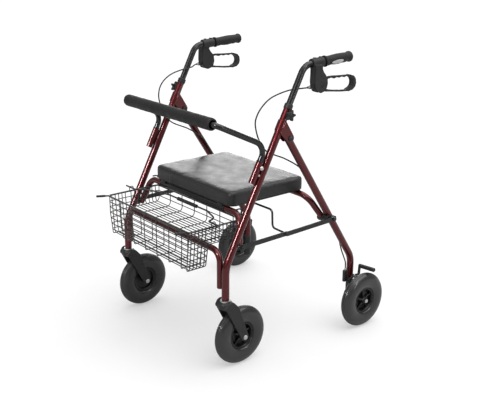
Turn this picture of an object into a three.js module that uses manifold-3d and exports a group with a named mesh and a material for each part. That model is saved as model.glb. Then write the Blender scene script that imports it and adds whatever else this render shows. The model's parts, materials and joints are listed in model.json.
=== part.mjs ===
// Four-wheeled walking frame (rollator) with a padded seat, loop brakes, a wire basket and a folding frame.
// Millimetres, +Z up. The walker's front is -Y and its own left is +X. The left half is built, then mirrored.
import * as THREE from "three";
import { ConvexGeometry } from "three/addons/geometries/ConvexGeometry.js";
import { mergeVertices } from "three/addons/utils/BufferGeometryUtils.js";
import Module from "manifold-3d";

const wasm = await Module();
wasm.setup();

// Driving dimensions
const GAP = 0.3; // clearance between separate pieces
const WHEEL_R = 101;
const TYRE_W = 42;
const LEG_X = 295; // plane of both legs on each side
const LEG_R = 12.7;
const LEG_BORE_R = 11.2;
const HANDLE_R = 10.9;
const TUBE_R = 11;
const CROSS_R = 10.5;
const STEM_Z = 243; // bottom of the front leg
const FRONT_BEND_Z = 356;
const LEAN = new THREE.Vector3(0, 0.4624, 0.8867); // up the straight part of the front leg
const FRONT_TOP = new THREE.Vector3(LEG_X, 252, 839);
const HANDLE_CORNER = new THREE.Vector3(LEG_X, 322, 973);
const GRIP_END_Y = 527;
const GRIP_RISE = Math.tan(THREE.MathUtils.degToRad(3));
const PIVOT = new THREE.Vector3(LEG_X, 255, 744); // rear leg on its gusset
const REAR_AXLE = new THREE.Vector3(361, 582, WHEEL_R);
const REAR_BEND_Z = 249;
const REAR_BOTTOM_Z = 70;
const CASTER_TRAIL = 60;
const BRAKE_PIVOT = new THREE.Vector3(303, 380, 906);
const ROCKER_PIVOT = new THREE.Vector3(0, 586, 176);
const BRAKE_BAR = [614.5, 207]; // y, z of the bar that presses on the rear tyre
const BRACE_FRONT = [54, 418]; // y, z of the fold brace's three pivots
const BRACE_MIDDLE = [243, 421];
const BRACE_REAR = [462, 426];
const SEAT_TUBE = [88, 507.3];
const SEAT_HALF_W = 224;
const SEAT_Y = [76, 412];
const SEAT_Z = [521, 571];
const BACK_Y = -10;
const BACK_Z = 815;
const RIM_Z = 482;
const BASKET_HALF_W = 244;
const BASKET_Y = [-106, 106];
const BAIL_PIVOT = [-9, 493];
const MIDDLE_Y = 264.2; // middle of the whole length, where the finished model's origin stands

const MATERIALS = {
  red: { color: 0x7b0f18, roughness: 0.28, metalness: 0.55 },
  black_gloss: { color: 0x101112, roughness: 0.25, metalness: 0.2 },
  dark_plastic: { color: 0x232425, roughness: 0.5, metalness: 0 },
  rubber: { color: 0x2b2c2d, roughness: 0.75, metalness: 0 },
  foam: { color: 0x3a3b3c, roughness: 0.9, metalness: 0 },
  vinyl: { color: 0x1c1d1e, roughness: 0.35, metalness: 0 },
  zinc: { color: 0xb9bcbe, roughness: 0.35, metalness: 0.9 },
  dark_steel: { color: 0x3b3c3d, roughness: 0.45, metalness: 0.6 },
};

const vec = (x, y, z) => new THREE.Vector3(x, y, z);

// Solids and booleans
function solid(geometry, place) {
  const bare = geometry.clone();
  if (place) bare.applyMatrix4(place);
  bare.deleteAttribute("normal");
  bare.deleteAttribute("uv");
  const merged = mergeVertices(bare, 1e-4);
  const mesh = new wasm.Mesh({
    numProp: 3,
    vertProperties: merged.attributes.position.array,
    triVerts: new Uint32Array(merged.index.array),
  });
  return new wasm.Manifold(mesh);
}

function cut(body, ...tools) {
  return tools.reduce((left, tool) => left.subtract(tool), body);
}

function join(...bodies) {
  return wasm.Manifold.union(bodies);
}

function geometryOf(body) {
  const mesh = body.getMesh();
  const geometry = new THREE.BufferGeometry();
  geometry.setAttribute("position", new THREE.BufferAttribute(mesh.vertProperties, 3));
  geometry.setIndex(new THREE.BufferAttribute(mesh.triVerts, 1));
  const faceted = geometry.toNonIndexed();
  faceted.computeVertexNormals();
  return faceted;
}

function move(x, y, z) {
  return new THREE.Matrix4().makeTranslation(x, y, z);
}

// A cylinder between two points.
function rod(from, to, radius, sides = 16) {
  const axis = to.clone().sub(from);
  const turn = new THREE.Quaternion().setFromUnitVectors(vec(0, 1, 0), axis.clone().normalize());
  const centre = from.clone().addScaledVector(axis, 0.5);
  const place = new THREE.Matrix4().compose(centre, turn, vec(1, 1, 1));
  return solid(new THREE.CylinderGeometry(radius, radius, axis.length(), sides), place);
}

// A cylinder along X through (y, z).
function pin(x0, x1, [y, z], radius, sides = 16) {
  return rod(vec(x0, y, z), vec(x1, y, z), radius, sides);
}

function block([x0, x1], [y0, y1], [z0, z1]) {
  const box = new THREE.BoxGeometry(x1 - x0, y1 - y0, z1 - z0);
  return solid(box, move((x0 + x1) / 2, (y0 + y1) / 2, (z0 + z1) / 2));
}

// A flat plate between two X values, from an outline of [y, z] points, with optional holes.
function plate(x0, x1, outline, holes = []) {
  const shape = new THREE.Shape(outline.map(([y, z]) => new THREE.Vector2(y, z)));
  for (const hole of holes) shape.holes.push(new THREE.Path(hole.map(([y, z]) => new THREE.Vector2(y, z))));
  const raw = new THREE.ExtrudeGeometry(shape, { depth: x1 - x0, bevelEnabled: false });
  const axes = new THREE.Matrix4().makeBasis(vec(0, 1, 0), vec(0, 0, 1), vec(1, 0, 0));
  return solid(raw, move(x0, 0, 0).multiply(axes));
}

// A round or rounded outline from circles of [y, z, r], as their convex hull.
function hullOutline(circles, steps = 12) {
  const points = [];
  for (const [y, z, r] of circles) {
    for (let i = 0; i < steps; i++) {
      const a = (2 * Math.PI * i) / steps;
      points.push([y + r * Math.cos(a), z + r * Math.sin(a)]);
    }
  }
  points.sort((p, q) => p[0] - q[0] || p[1] - q[1]);
  const half = (list) => {
    const chain = [];
    for (const p of list) {
      while (chain.length > 1) {
        const [a, b] = chain.slice(-2);
        if ((b[0] - a[0]) * (p[1] - a[1]) - (b[1] - a[1]) * (p[0] - a[0]) > 1e-6) break;
        chain.pop();
      }
      chain.push(p);
    }
    return chain.slice(0, -1);
  };
  return [...half(points), ...half([...points].reverse())];
}

// A route through corner points, rounded at each corner, that keeps its own stations.
class BentPath extends THREE.Curve {
  constructor(corners, radii, perBend = 6) {
    super();
    this.stations = [];
    this.directions = [];
    const last = corners.length - 1;
    const unit = (i) => corners[i + 1].clone().sub(corners[i]).normalize();
    this.add(corners[0], unit(0));
    for (let i = 1; i < last; i++) {
      this.bend(corners[i], unit(i - 1), unit(i), radii[i - 1], perBend);
    }
    this.add(corners[last], unit(last - 1));
  }

  add(point, direction) {
    this.stations.push(point.clone());
    this.directions.push(direction.clone());
  }

  bend(corner, before, after, radius, steps) {
    const angle = before.angleTo(after);
    const reach = radius * Math.tan(angle / 2);
    const start = corner.clone().addScaledVector(before, -reach);
    const inward = after.clone().addScaledVector(before, -after.dot(before)).normalize();
    for (let i = 0; i <= steps; i++) {
      const a = (angle * i) / steps;
      const point = start.clone().addScaledVector(before, radius * Math.sin(a));
      point.addScaledVector(inward, radius * (1 - Math.cos(a)));
      const direction = before.clone().multiplyScalar(Math.cos(a)).addScaledVector(inward, Math.sin(a));
      this.add(point, direction);
    }
  }

  at(list, t) {
    const place = Math.min(Math.max(t, 0), 1) * (list.length - 1);
    const low = Math.min(Math.floor(place), list.length - 2);
    return list[low].clone().lerp(list[low + 1], place - low);
  }

  getPoint(t) {
    return this.at(this.stations, t);
  }

  getPointAt(t) {
    return this.getPoint(t);
  }

  getTangent(t) {
    return this.at(this.directions, t).normalize();
  }

  getTangentAt(t) {
    return this.getTangent(t);
  }
}

function circleShape(radius, sides) {
  const points = [];
  for (let i = 0; i < sides; i++) {
    const a = (2 * Math.PI * i) / sides;
    points.push(new THREE.Vector2(radius * Math.cos(a), radius * Math.sin(a)));
  }
  return new THREE.Shape(points);
}

function sweep(path, steps, radius, sides) {
  const shape = circleShape(radius, sides);
  return solid(new THREE.ExtrudeGeometry(shape, { steps, extrudePath: path, bevelEnabled: false }));
}

// A round tube or wire through corners, each rounded to its radius.
function tube(corners, radii, radius, sides = 14, perBend = 6) {
  const path = new BentPath(corners, radii, perBend);
  return sweep(path, path.stations.length - 1, radius, sides);
}

// A lathed solid about the X axis through (y, z), from [radius, x] points.
function turned(profile, centre, segments = 32) {
  const points = profile.map(([r, x]) => new THREE.Vector2(r, x));
  const raw = new THREE.LatheGeometry(points, segments);
  const place = move(0, centre[0], centre[1]).multiply(new THREE.Matrix4().makeRotationZ(-Math.PI / 2));
  return solid(raw, place);
}

function mesh(name, material, body) {
  const made = new THREE.Mesh(geometryOf(body), new THREE.MeshStandardMaterial(MATERIALS[material]));
  made.name = name;
  return made;
}

// A mesh whose own frame stands at a point.
function meshAt(name, material, body, at) {
  const made = mesh(name, material, body.translate([-at.x, -at.y, -at.z]));
  made.position.copy(at);
  return made;
}

const alongLean = (distance) => FRONT_TOP.clone().addScaledVector(LEAN, distance);
const frontLegY = (z) => FRONT_TOP.y - ((FRONT_TOP.z - z) * LEAN.y) / LEAN.z;
const rearLegY = (z) => PIVOT.y + (PIVOT.z - z) * 0.66;
const REAR_DOWN = vec(0, 0.66, -1).normalize();

// Front frame
function frontLeg() {
  const corner = vec(LEG_X, 0, FRONT_BEND_Z - 1.5);
  const outer = tube([vec(LEG_X, 0, STEM_Z), corner, FRONT_TOP], [110], LEG_R);
  const bore = rod(alongLean(-330), alongLean(2), LEG_BORE_R, 16);
  const socket = rod(vec(LEG_X, 0, STEM_Z - 2), vec(LEG_X, 0, STEM_Z + 42), 7, 12);
  const knob = alongLean(-18);
  const screwHole = pin(LEG_X, LEG_X + 20, [knob.y, knob.z], 4.3, 12);
  return cut(outer, bore, socket, screwHole);
}

function collar() {
  const low = alongLean(GAP);
  const ring = join(rod(low, alongLean(15), 14.6), rod(alongLean(10), alongLean(17), 13.2));
  return cut(ring, rod(alongLean(-2), alongLean(20), LEG_BORE_R));
}

function knobSolid(at) {
  const lobes = [];
  for (let i = 0; i < 5; i++) {
    const a = (2 * Math.PI * i) / 5;
    const centre = [at.y + 13 * Math.cos(a), at.z + 13 * Math.sin(a)];
    lobes.push(pin(LEG_X + 18, LEG_X + 31, centre, 6.5, 10));
  }
  const hub = turned([[0, LEG_X + 13.1], [9, LEG_X + 13.1], [9, LEG_X + 18], [14.5, LEG_X + 19.5],
    [14.5, LEG_X + 30], [8, LEG_X + 33], [0, LEG_X + 33]], [at.y, at.z], 20);
  const stud = pin(LEG_X + 11.3, LEG_X + 14, [at.y, at.z], 4, 12);
  return join(hub, stud, ...lobes);
}

function gusset() {
  const outline = hullOutline([
    [frontLegY(805) - 12.5, 803, 3],
    [frontLegY(806) + 6, 806, 3],
    [frontLegY(776) - 12.5, 772, 3],
    [PIVOT.y, PIVOT.z, 17],
  ]);
  const whole = plate(LEG_X - 15.9, LEG_X + 15.9, outline);
  const legRoom = rod(alongLean(-140), alongLean(10), LEG_R + GAP);
  const lean = LEAN.y / LEAN.z;
  const pocket = plate(LEG_X - 13.4, LEG_X + 13.4, [
    [frontLegY(690), 690], [frontLegY(690) + 200, 690], [frontLegY(690) + 200 + 150 * lean, 840], [frontLegY(840), 840],
  ]);
  const bolt = join(
    pin(LEG_X - 22, LEG_X + 22, [PIVOT.y, PIVOT.z], 4, 16),
    pin(LEG_X - 22, LEG_X - 15.8, [PIVOT.y, PIVOT.z], 8, 16),
    turned([[0, LEG_X + 15.8], [9, LEG_X + 15.8], [8, LEG_X + 20], [4, LEG_X + 22.5], [0, LEG_X + 22.5]],
      [PIVOT.y, PIVOT.z], 20),
  );
  return join(cut(whole, legRoom, pocket), bolt);
}

// Bent cross tubes: where each end stands, and the corner that its bend rounds.
const SEAT_TUBE_END = vec(290, 60, 412);
const SEAT_TUBE_SHOULDER = vec(256, ...SEAT_TUBE);
const REAR_TUBE_END = vec(LEG_X - 18, rearLegY(424) - 19.6, 424);
const REAR_TUBE_SHOULDER = vec(LEG_X - 40, rearLegY(509) - 19.6, 509);
const CABLE_X = LEG_X - 16; // the cable runs down the inner side of the rear leg

// A line through two points, carried on past the first by some length.
function beyond(from, to, length) {
  const axis = to.clone().sub(from).normalize();
  return [from.clone().addScaledVector(axis, -length), from.clone().addScaledVector(axis, length + 10)];
}

// An upside-down U of tube across the frame, from its left end and left corner.
function crossTube(end, shoulder, bend, radius) {
  const mirrored = (v) => vec(-v.x, v.y, v.z);
  return tube([end, shoulder, mirrored(shoulder), mirrored(end)], [bend, bend], radius, 14, 7);
}

const SOCKET_OFFSET = 29; // from the front leg's axis to the backrest socket's axis
const socketPoint = (z) => vec(LEG_X, frontLegY(z) - SOCKET_OFFSET / LEAN.z, z);

function backrestSocket() {
  const low = socketPoint(617);
  const high = socketPoint(682);
  const shell = rod(low, high, 11.2, 20);
  const web = plate(LEG_X - 2.5, LEG_X + 2.5, [
    [low.y, 622], [frontLegY(622), 622], [frontLegY(678), 678], [high.y, 678],
  ]);
  const boss = turned([[0, LEG_X], [7, LEG_X], [7, LEG_X + 12], [5.5, LEG_X + 15], [2, LEG_X + 16.5],
    [0, LEG_X + 16.5]], [frontLegY(664) - 16, 664], 20);
  const small = pin(LEG_X, LEG_X + 7, [frontLegY(640) - 16, 640], 3.5, 12);
  const legRoom = rod(vec(LEG_X, frontLegY(560), 560), vec(LEG_X, frontLegY(740), 740), LEG_R + GAP);
  const bore = rod(socketPoint(625), socketPoint(690), 9.3, 20);
  return cut(join(shell, web, boss, small), legRoom, bore);
}

function seatTube() {
  return crossTube(SEAT_TUBE_END, SEAT_TUBE_SHOULDER, 42, TUBE_R);
}

function lowerCrossTube() {
  const x = LEG_X - LEG_R - CROSS_R - GAP;
  return crossTube(vec(x, -4, 278), vec(x, -4, 404), 38, CROSS_R);
}

function braceFrontBracket() {
  const [y, z] = BRACE_FRONT;
  const arm = plate(LEG_X + 12.9, LEG_X + 16, hullOutline([[y, z, 9], [y + 3, z - 12, 7]]));
  const back = plate(LEG_X - 3, LEG_X + 16, hullOutline([[y + 6, z - 14, 4], [y + 12, z - 8, 4], [y + 6, z - 8, 4]]));
  const bolt = join(pin(LEG_X + 13, LEG_X + 24, [y, z], 3.8, 16), pin(LEG_X + 22, LEG_X + 26.5, [y, z], 7, 6));
  const tubeRoom = rod(...beyond(SEAT_TUBE_END, SEAT_TUBE_SHOULDER, 50), TUBE_R + GAP);
  const legRoom = rod(vec(LEG_X, frontLegY(360), 360), vec(LEG_X, frontLegY(480), 480), LEG_R + GAP);
  return cut(join(arm, back, bolt), tubeRoom, legRoom);
}

// Handles
function gripPoint(y, drop = 0) {
  return vec(LEG_X, y, HANDLE_CORNER.z + (y - HANDLE_CORNER.y) * GRIP_RISE - drop);
}

function handleTube() {
  const end = gripPoint(GRIP_END_Y - 5);
  return tube([alongLean(-200), HANDLE_CORNER, end], [46], HANDLE_R, 14, 8);
}

function grip() {
  const start = gripPoint(408);
  const axis = gripPoint(GRIP_END_Y).sub(start).normalize();
  const turn = new THREE.Quaternion().setFromUnitVectors(vec(0, 1, 0), axis);
  const place = new THREE.Matrix4().compose(start, turn, vec(1, 1, 1));
  const points = [[0, 0], [18, 0], [19, 2], [19, 5], [15.2, 9], [14.8, 30], [16.4, 62], [15.6, 92], [15, 108],
    [18, 113], [18.5, 118], [16, 122], [0, 123]].map(([r, a]) => new THREE.Vector2(r, a));
  const outer = solid(new THREE.LatheGeometry(points, 16), place);
  const bore = rod(gripPoint(400), gripPoint(GRIP_END_Y - 4.5), HANDLE_R + GAP, 16);
  const inlay = gripPoint(462, -1);
  const oval = new THREE.SphereGeometry(1, 10, 5);
  const ovalPlace = new THREE.Matrix4().compose(inlay.setX(LEG_X + 14), turn, vec(3.6, 15, 8));
  return cut(join(outer, solid(oval, ovalPlace)), bore);
}

function brakeHousing() {
  const { x, y, z } = BRAKE_PIVOT;
  const clampAxis = [gripPoint(356), gripPoint(402)];
  const ring = rod(clampAxis[0], clampAxis[1], 16, 18);
  const neck = plate(x - 12, x + 12, [[360, 968], [358, 930], [356, 905], [402, 905], [404, 930], [398, 972]]);
  const drum = turned([[0, x - 13], [25, x - 13], [28, x - 10], [28, x + 10], [25, x + 13], [0, x + 13]], [y, z], 20);
  const barrel = join(
    rod(vec(x, y - 15, z - 6), vec(x, 340, 900.5), 5.5, 10),
    rod(vec(x, 350, 901), vec(x, 333, 900.5), 4, 10),
  );
  const tubeRoom = join(
    rod(gripPoint(350), gripPoint(410), HANDLE_R + GAP, 16),
    rod(vec(LEG_X, 322, 960), gripPoint(358), HANDLE_R + GAP, 16),
  );
  const slot = plate(x + 3, x + 13.5, [[360, 892], [366, 922], [410, 962], [450, 950], [450, 860], [372, 868]]);
  const axle = pin(x + 2, x + 13, [y + 4, z - 2], 4, 14);
  const screws = [366, 392].map((s) => rod(gripPoint(s, -13), gripPoint(s, -19), 3.2, 8));
  return join(cut(join(ring, neck, drum, barrel, ...screws), tubeRoom, slot), axle);
}

const LOOP_OUTER = [[372, 894], [376, 886], [386, 880], [404, 882], [430, 878], [470, 873], [505, 871], [524, 875],
  [536, 884], [540, 897], [537, 912], [528, 922], [512, 927], [470, 928], [430, 932], [408, 932], [392, 926],
  [378, 914], [372, 904]];
const LOOP_INNER = [[412, 893], [416, 915], [428, 919], [440, 914], [452, 918], [464, 914], [476, 917], [488, 912],
  [500, 915], [512, 913], [520, 907], [522, 897], [517, 888], [504, 883], [470, 884], [430, 889]];

function brakeLever() {
  const x = BRAKE_PIVOT.x;
  const loop = plate(x + 3.6, x + 12.6, LOOP_OUTER, [LOOP_INNER]);
  const wide = plate(x + 1, x + 15, [[498, 872], [524, 875], [536, 884], [540, 897], [537, 912], [528, 922],
    [512, 927], [494, 927], [494, 915], [512, 913], [520, 907], [522, 897], [517, 888], [504, 883], [498, 883]]);
  const hole = pin(x, x + 16, [BRAKE_PIVOT.y + 4, BRAKE_PIVOT.z - 2], 4.3, 14);
  return cut(join(loop, wide), hole);
}

// Casters and wheels
function casterFork() {
  const centre = [CASTER_TRAIL, WHEEL_R];
  const half = TYRE_W / 2;
  const outline = hullOutline([[-14, 228, 6], [16, 226, 8], [24, 216, 6]]);
  const crown = plate(LEG_X - half - 9, LEG_X + half + 9, outline);
  const cap = join(
    rod(vec(LEG_X, 0, 216), vec(LEG_X, 0, 238), 23, 18),
    rod(vec(LEG_X, 0, 236), vec(LEG_X, 0, STEM_Z - GAP), 18, 18),
    rod(vec(LEG_X, 0, STEM_Z - 3), vec(LEG_X, 0, STEM_Z + 36), 6.6, 12),
  );
  const blade = hullOutline([[8, 222, 13], [24, 214, 9], [...centre, 15]]);
  const room = pin(LEG_X - half - 3, LEG_X + half + 3, centre, WHEEL_R + 5, 32);
  const blades = [
    plate(LEG_X - half - 9, LEG_X - half - 4, blade),
    plate(LEG_X + half + 4, LEG_X + half + 9, blade),
  ];
  const axle = join(
    pin(LEG_X - half - 12, LEG_X + half + 12, centre, 4, 12),
    pin(LEG_X + half + 8.9, LEG_X + half + 13, centre, 8, 16),
    pin(LEG_X - half - 13, LEG_X - half - 8.9, centre, 8, 6),
  );
  return join(cut(join(crown, cap), room), ...blades, axle);
}

function tyre(x, centre) {
  const half = TYRE_W / 2;
  const profile = [[48, -16], [62, -20], [82, -21], [95, -16], [WHEEL_R, -5], [WHEEL_R, 5], [95, 16], [82, 21],
    [62, 20], [48, 16], [48, -16]];
  const scaled = profile.map(([r, a]) => [r, x + (a * half) / 21]);
  return turned(scaled, centre, 28);
}

function hub(x, centre, reach) {
  const rimIn = 47.2;
  const profile = [[4.4, -reach], [12, -reach], [15, -7], [37, -5], [41, -12], [rimIn, -13], [rimIn, 13],
    [41, 12], [37, 5], [15, 7], [12, 17], [4.4, 17], [4.4, -reach]];
  const disc = turned(profile.map(([r, a]) => [r, x + a]), centre, 24);
  const pockets = [];
  for (let i = 0; i < 5; i++) {
    const a = (2 * Math.PI * (i + 0.25)) / 5;
    const circles = [[-0.28, 31, 4], [0.28, 31, 4], [0, 21, 3]].map(([turn, r, round]) => [
      centre[0] + r * Math.cos(a + turn), centre[1] + r * Math.sin(a + turn), round]);
    pockets.push(plate(x + 2.5, x + 12, hullOutline(circles, 5)));
  }
  return cut(disc, ...pockets);
}

// Rear frame
function rearLeg() {
  const top = PIVOT.clone().addScaledVector(REAR_DOWN, -14);
  const corner = vec(LEG_X, REAR_AXLE.y, REAR_BEND_Z - 0.5);
  const body = tube([top, corner, vec(LEG_X, REAR_AXLE.y, REAR_BOTTOM_Z)], [80], LEG_R);
  const bolt = pin(LEG_X - 20, LEG_X + 20, [PIVOT.y, PIVOT.z], 4.3, 16);
  const axle = pin(LEG_X - 20, LEG_X + 20, [REAR_AXLE.y, REAR_AXLE.z], 4.3, 16);
  return cut(body, bolt, axle);
}

function rearTube() {
  return crossTube(REAR_TUBE_END, REAR_TUBE_SHOULDER, 48, TUBE_R);
}

function rearAxle() {
  const at = [REAR_AXLE.y, REAR_AXLE.z];
  return join(
    pin(LEG_X - 16, REAR_AXLE.x + 24, at, 4, 16),
    pin(REAR_AXLE.x + 19.6, REAR_AXLE.x + 24, at, 8, 6),
    turned([[0, LEG_X - 20], [6, LEG_X - 19], [8, LEG_X - 13], [0, LEG_X - 13]], at, 16),
  );
}

function braceRearClamp() {
  const [y, z] = BRACE_REAR;
  const outline = hullOutline([[rearLegY(z) + 12, z, 6], [rearLegY(z) - 19, z, 14]]);
  const strap = plate(LEG_X - 31.5, LEG_X + 15.6, outline);
  const bolt = join(pin(LEG_X + 15, LEG_X + 28, [y, z], 3.8, 16), pin(LEG_X + 26.5, LEG_X + 31, [y, z], 7, 6));
  const legRoom = rod(vec(LEG_X, rearLegY(380), 380), vec(LEG_X, rearLegY(480), 480), LEG_R + GAP);
  const tubeRoom = rod(...beyond(REAR_TUBE_END, REAR_TUBE_SHOULDER, 30), TUBE_R + GAP);
  const cableRoom = rod(vec(CABLE_X, rearLegY(380), 380), vec(CABLE_X, rearLegY(480), 480), 3);
  return join(cut(strap, legRoom, tubeRoom, cableRoom), bolt);
}

// Fold brace
function braceBar(x0, x1, from, to, dropFrom, dropTo) {
  const outline = hullOutline([[...from, 8], [...to, 8]]);
  const holes = [[from, dropFrom], [to, dropTo]].map(([at, r]) => pin(x0 - 2, x1 + 2, at, r, 16));
  return cut(plate(x0, x1, outline), ...holes);
}

function liftRod() {
  const [y, z] = BRACE_MIDDLE;
  const outer = LEG_X + 20.6;
  const left = [vec(outer, y, z), vec(244, y, z + 2), vec(241, y, z + 64)];
  const right = left.map((v) => vec(-v.x, v.y, v.z)).reverse();
  return tube([...left, ...right], [14, 14, 14, 14], 3.6, 8, 4);
}

// Rear brake
function brakeBracket() {
  const clamp = plate(LEG_X - 15.5, LEG_X + 15.5, hullOutline([[582, 176, 15.5], [560, 176, 10]]));
  const upright = block([LEG_X + 3, LEG_X + 15], [540, 556], [160, 206]);
  const stop = rod(vec(LEG_X + 9, 548, 204), vec(LEG_X + 9, 548, 214), 4.5, 12);
  const bolt = pin(LEG_X + 15, LEG_X + 21.5, [ROCKER_PIVOT.y, ROCKER_PIVOT.z], 3.8, 14);
  const head = pin(LEG_X + 20, LEG_X + 23, [ROCKER_PIVOT.y, ROCKER_PIVOT.z], 6, 14);
  const legRoom = rod(vec(LEG_X, 582, 140), vec(LEG_X, 582, 240), LEG_R + GAP);
  const trimmed = block([LEG_X - 40, LEG_X + 40], [500, 640], [164, 188]);
  return join(cut(clamp.intersect(trimmed), legRoom), upright, stop, bolt, head);
}

function brakeRocker() {
  const { y, z } = ROCKER_PIVOT;
  const arm = plate(LEG_X + 15.9, LEG_X + 19.7, hullOutline([[y, z, 8], [...BRAKE_BAR, 7]]));
  const foot = plate(LEG_X + 15.9, LEG_X + 19.7, hullOutline([[y, z, 8], [550, 188, 5]]));
  const bar = pin(LEG_X + 16, REAR_AXLE.x + 23, BRAKE_BAR, 6.5, 16);
  const hole = pin(LEG_X + 14, LEG_X + 24, [y, z], 4.1, 14);
  return cut(join(arm, foot, bar), hole);
}

// Brake cable
const onRearLeg = (z) => [CABLE_X, rearLegY(z), z];
const CABLE_UPPER = [[303, 331.8, 900.6], [302, 326, 900.2], [293, 311, 898.5], [282, 296, 896.5], [278, 277, 895],
  [278, 234, 889], [278, 192, 877], [278, 162, 857], [278, 147, 837], [277, 139, 815], [276, 138.5, 799],
  [274, 145, 768], [272, 157, 742], [271, 167, 727]];
const CABLE_LOWER = [[270.8, 171, 720.5], [270.3, 182, 709], [270.5, 200, 697], [271.5, 226, 685], [274, 266, 667],
  onRearLeg(620), onRearLeg(560), onRearLeg(500), onRearLeg(440), onRearLeg(380), onRearLeg(325),
  [281, 539, 300], [287, 541, 280], [296, 544, 258], [303, 547, 238], [304, 548, 214.6]];

function cable(points) {
  const curve = new THREE.CatmullRomCurve3(points.map((p) => vec(...p)), false, "centripetal");
  return sweep(curve, 26, 2.4, 8);
}

// Seat
function roundedBox(halfWidth, [y0, y1], [z0, z1], corner, edge, rounds) {
  const shape = new THREE.Shape();
  const w = halfWidth - edge;
  const a = y0 + edge;
  const b = y1 - edge;
  const r = corner - edge;
  shape.moveTo(-w + r, a);
  shape.lineTo(w - r, a);
  shape.absarc(w - r, a + r, r, -Math.PI / 2, 0, false);
  shape.lineTo(w, b - r);
  shape.absarc(w - r, b - r, r, 0, Math.PI / 2, false);
  shape.lineTo(-w + r, b);
  shape.absarc(-w + r, b - r, r, Math.PI / 2, Math.PI, false);
  shape.lineTo(-w, a + r);
  shape.absarc(-w + r, a + r, r, Math.PI, 1.5 * Math.PI, false);
  const options = { depth: z1 - z0 - 2 * edge, bevelSize: edge, bevelThickness: edge, bevelSegments: rounds, curveSegments: 4 };
  return solid(new THREE.ExtrudeGeometry(shape, options), move(0, 0, z0 + edge));
}

function seatBoard() {
  const [y, z] = SEAT_TUBE;
  const board = roundedBox(SEAT_HALF_W - 3, [SEAT_Y[0] + 3, SEAT_Y[1] - 3], [SEAT_Z[0], SEAT_Z[0] + 8], 30, 1, 1);
  const saddles = [-1, 1].map((side) => {
    const body = block([side * 165 - 14, side * 165 + 14], [y - 12, y + 11], [z - 4, SEAT_Z[0] + 1]);
    return cut(body, pin(side * 165 - 20, side * 165 + 20, [y, z], TUBE_R + 2.4));
  });
  const pads = [-1, 1].map((side) => block([side * 150 - 20, side * 150 + 20], [383, 403], [520.6, 522]));
  return join(board, ...saddles, ...pads);
}

function seatHingeSleeve() {
  const [y, z] = SEAT_TUBE;
  return cut(pin(-185, 185, [y, z], TUBE_R + 2), pin(-190, 190, [y, z], TUBE_R + 0.5));
}

// Backrest
function backrestTube() {
  const left = [socketPoint(632), socketPoint(731), vec(264, BACK_Y, BACK_Z)];
  const right = left.map((v) => vec(-v.x, v.y, v.z)).reverse();
  return tube([...left, ...right], [38, 26, 26, 38], 9, 12, 6);
}

function backrestFoam() {
  const half = 243;
  const profile = [[9.4, -half], [16, -half], [19.5, -half + 4], [20.5, 0], [19.5, half - 4], [16, half], [9.4, half],
    [9.4, -half]];
  return turned(profile, [BACK_Y, BACK_Z], 24);
}

// Basket
function basketShell() {
  const wall = 3;
  const [front, back] = BASKET_Y;
  const w = BASKET_HALF_W;
  const deep = { y: [front + 1, -24], z: 342, w: w - 16 };
  const shelfZ = 421;
  const frustum = (x0, x1, [y0, y1], [z0, z1]) => {
    const points = [];
    for (const [x, z] of [[x0, z0], [x1, z1]]) {
      for (const y of [y0, y1]) points.push(vec(-x, y, z), vec(x, y, z));
    }
    return solid(new ConvexGeometry(points));
  };
  const outer = join(
    frustum(w - 5, w, [front, back], [shelfZ, RIM_Z]),
    frustum(deep.w, w - 5, deep.y, [deep.z, shelfZ + 2]),
  );
  const inner = join(
    frustum(w - 5 - wall, w - wall, [front + wall, back - wall], [shelfZ + wall, RIM_Z + 5]),
    frustum(deep.w - wall, w - 5 - wall, [deep.y[0] + wall, deep.y[1] - wall], [deep.z + wall, shelfZ + 8]),
  );
  const rim = cut(
    block([-w - 1.5, w + 1.5], [front - 1.5, back + 1.5], [RIM_Z - 3, RIM_Z + 3]),
    block([-w + 4, w - 4], [front + 4, back - 4], [RIM_Z - 6, RIM_Z + 6]),
  );
  const eyes = [-1, 1].map((side) => plate(side * w - 2.5, side * w + 2.5,
    hullOutline([[...BAIL_PIVOT, 8], [BAIL_PIVOT[0], RIM_Z, 10]])));
  const holes = [-1, 1].map((side) => pin(side * w - 10, side * w + 10, BAIL_PIVOT, 3.7, 14));
  const arms = [-1, 1].map((side) => tube([vec(side * (w - 4), front + 4, RIM_Z), vec(side * (w - 4), front - 48, RIM_Z + 8)],
    [], 4, 10));
  const hooks = [-1, 1].map((side) => tube([vec(side * w, back, RIM_Z), vec(side * w, back + 1, 521), vec(side * w, 84, 521)],
    [10], 2.8, 8, 5));
  return join(cut(join(outer, ...eyes), inner, ...holes), rim, ...arms, ...hooks);
}

function basketBail() {
  const [y, z] = BAIL_PIVOT;
  const w = BASKET_HALF_W;
  const reach = 73;
  const slope = -0.1;
  const point = (x, v) => vec(x, y + v * Math.cos(slope), z + v * Math.sin(slope));
  const inner = [point(w + 34, 0), point(w - 26, 0), point(196, 42), point(112, reach)];
  const other = inner.map((v) => vec(-v.x, v.y, v.z)).reverse();
  const wire = tube([...inner, ...other], [14, 60, 60, 60, 60, 14], 3, 8, 4);
  const middle = point(0, reach);
  const sleeve = pin(-54, 54, [middle.y, middle.z], 7.5, 14);
  return join(wire, sleeve);
}

// Assembly
const KNOB_AT = alongLean(-18).setX(LEG_X);

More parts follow.
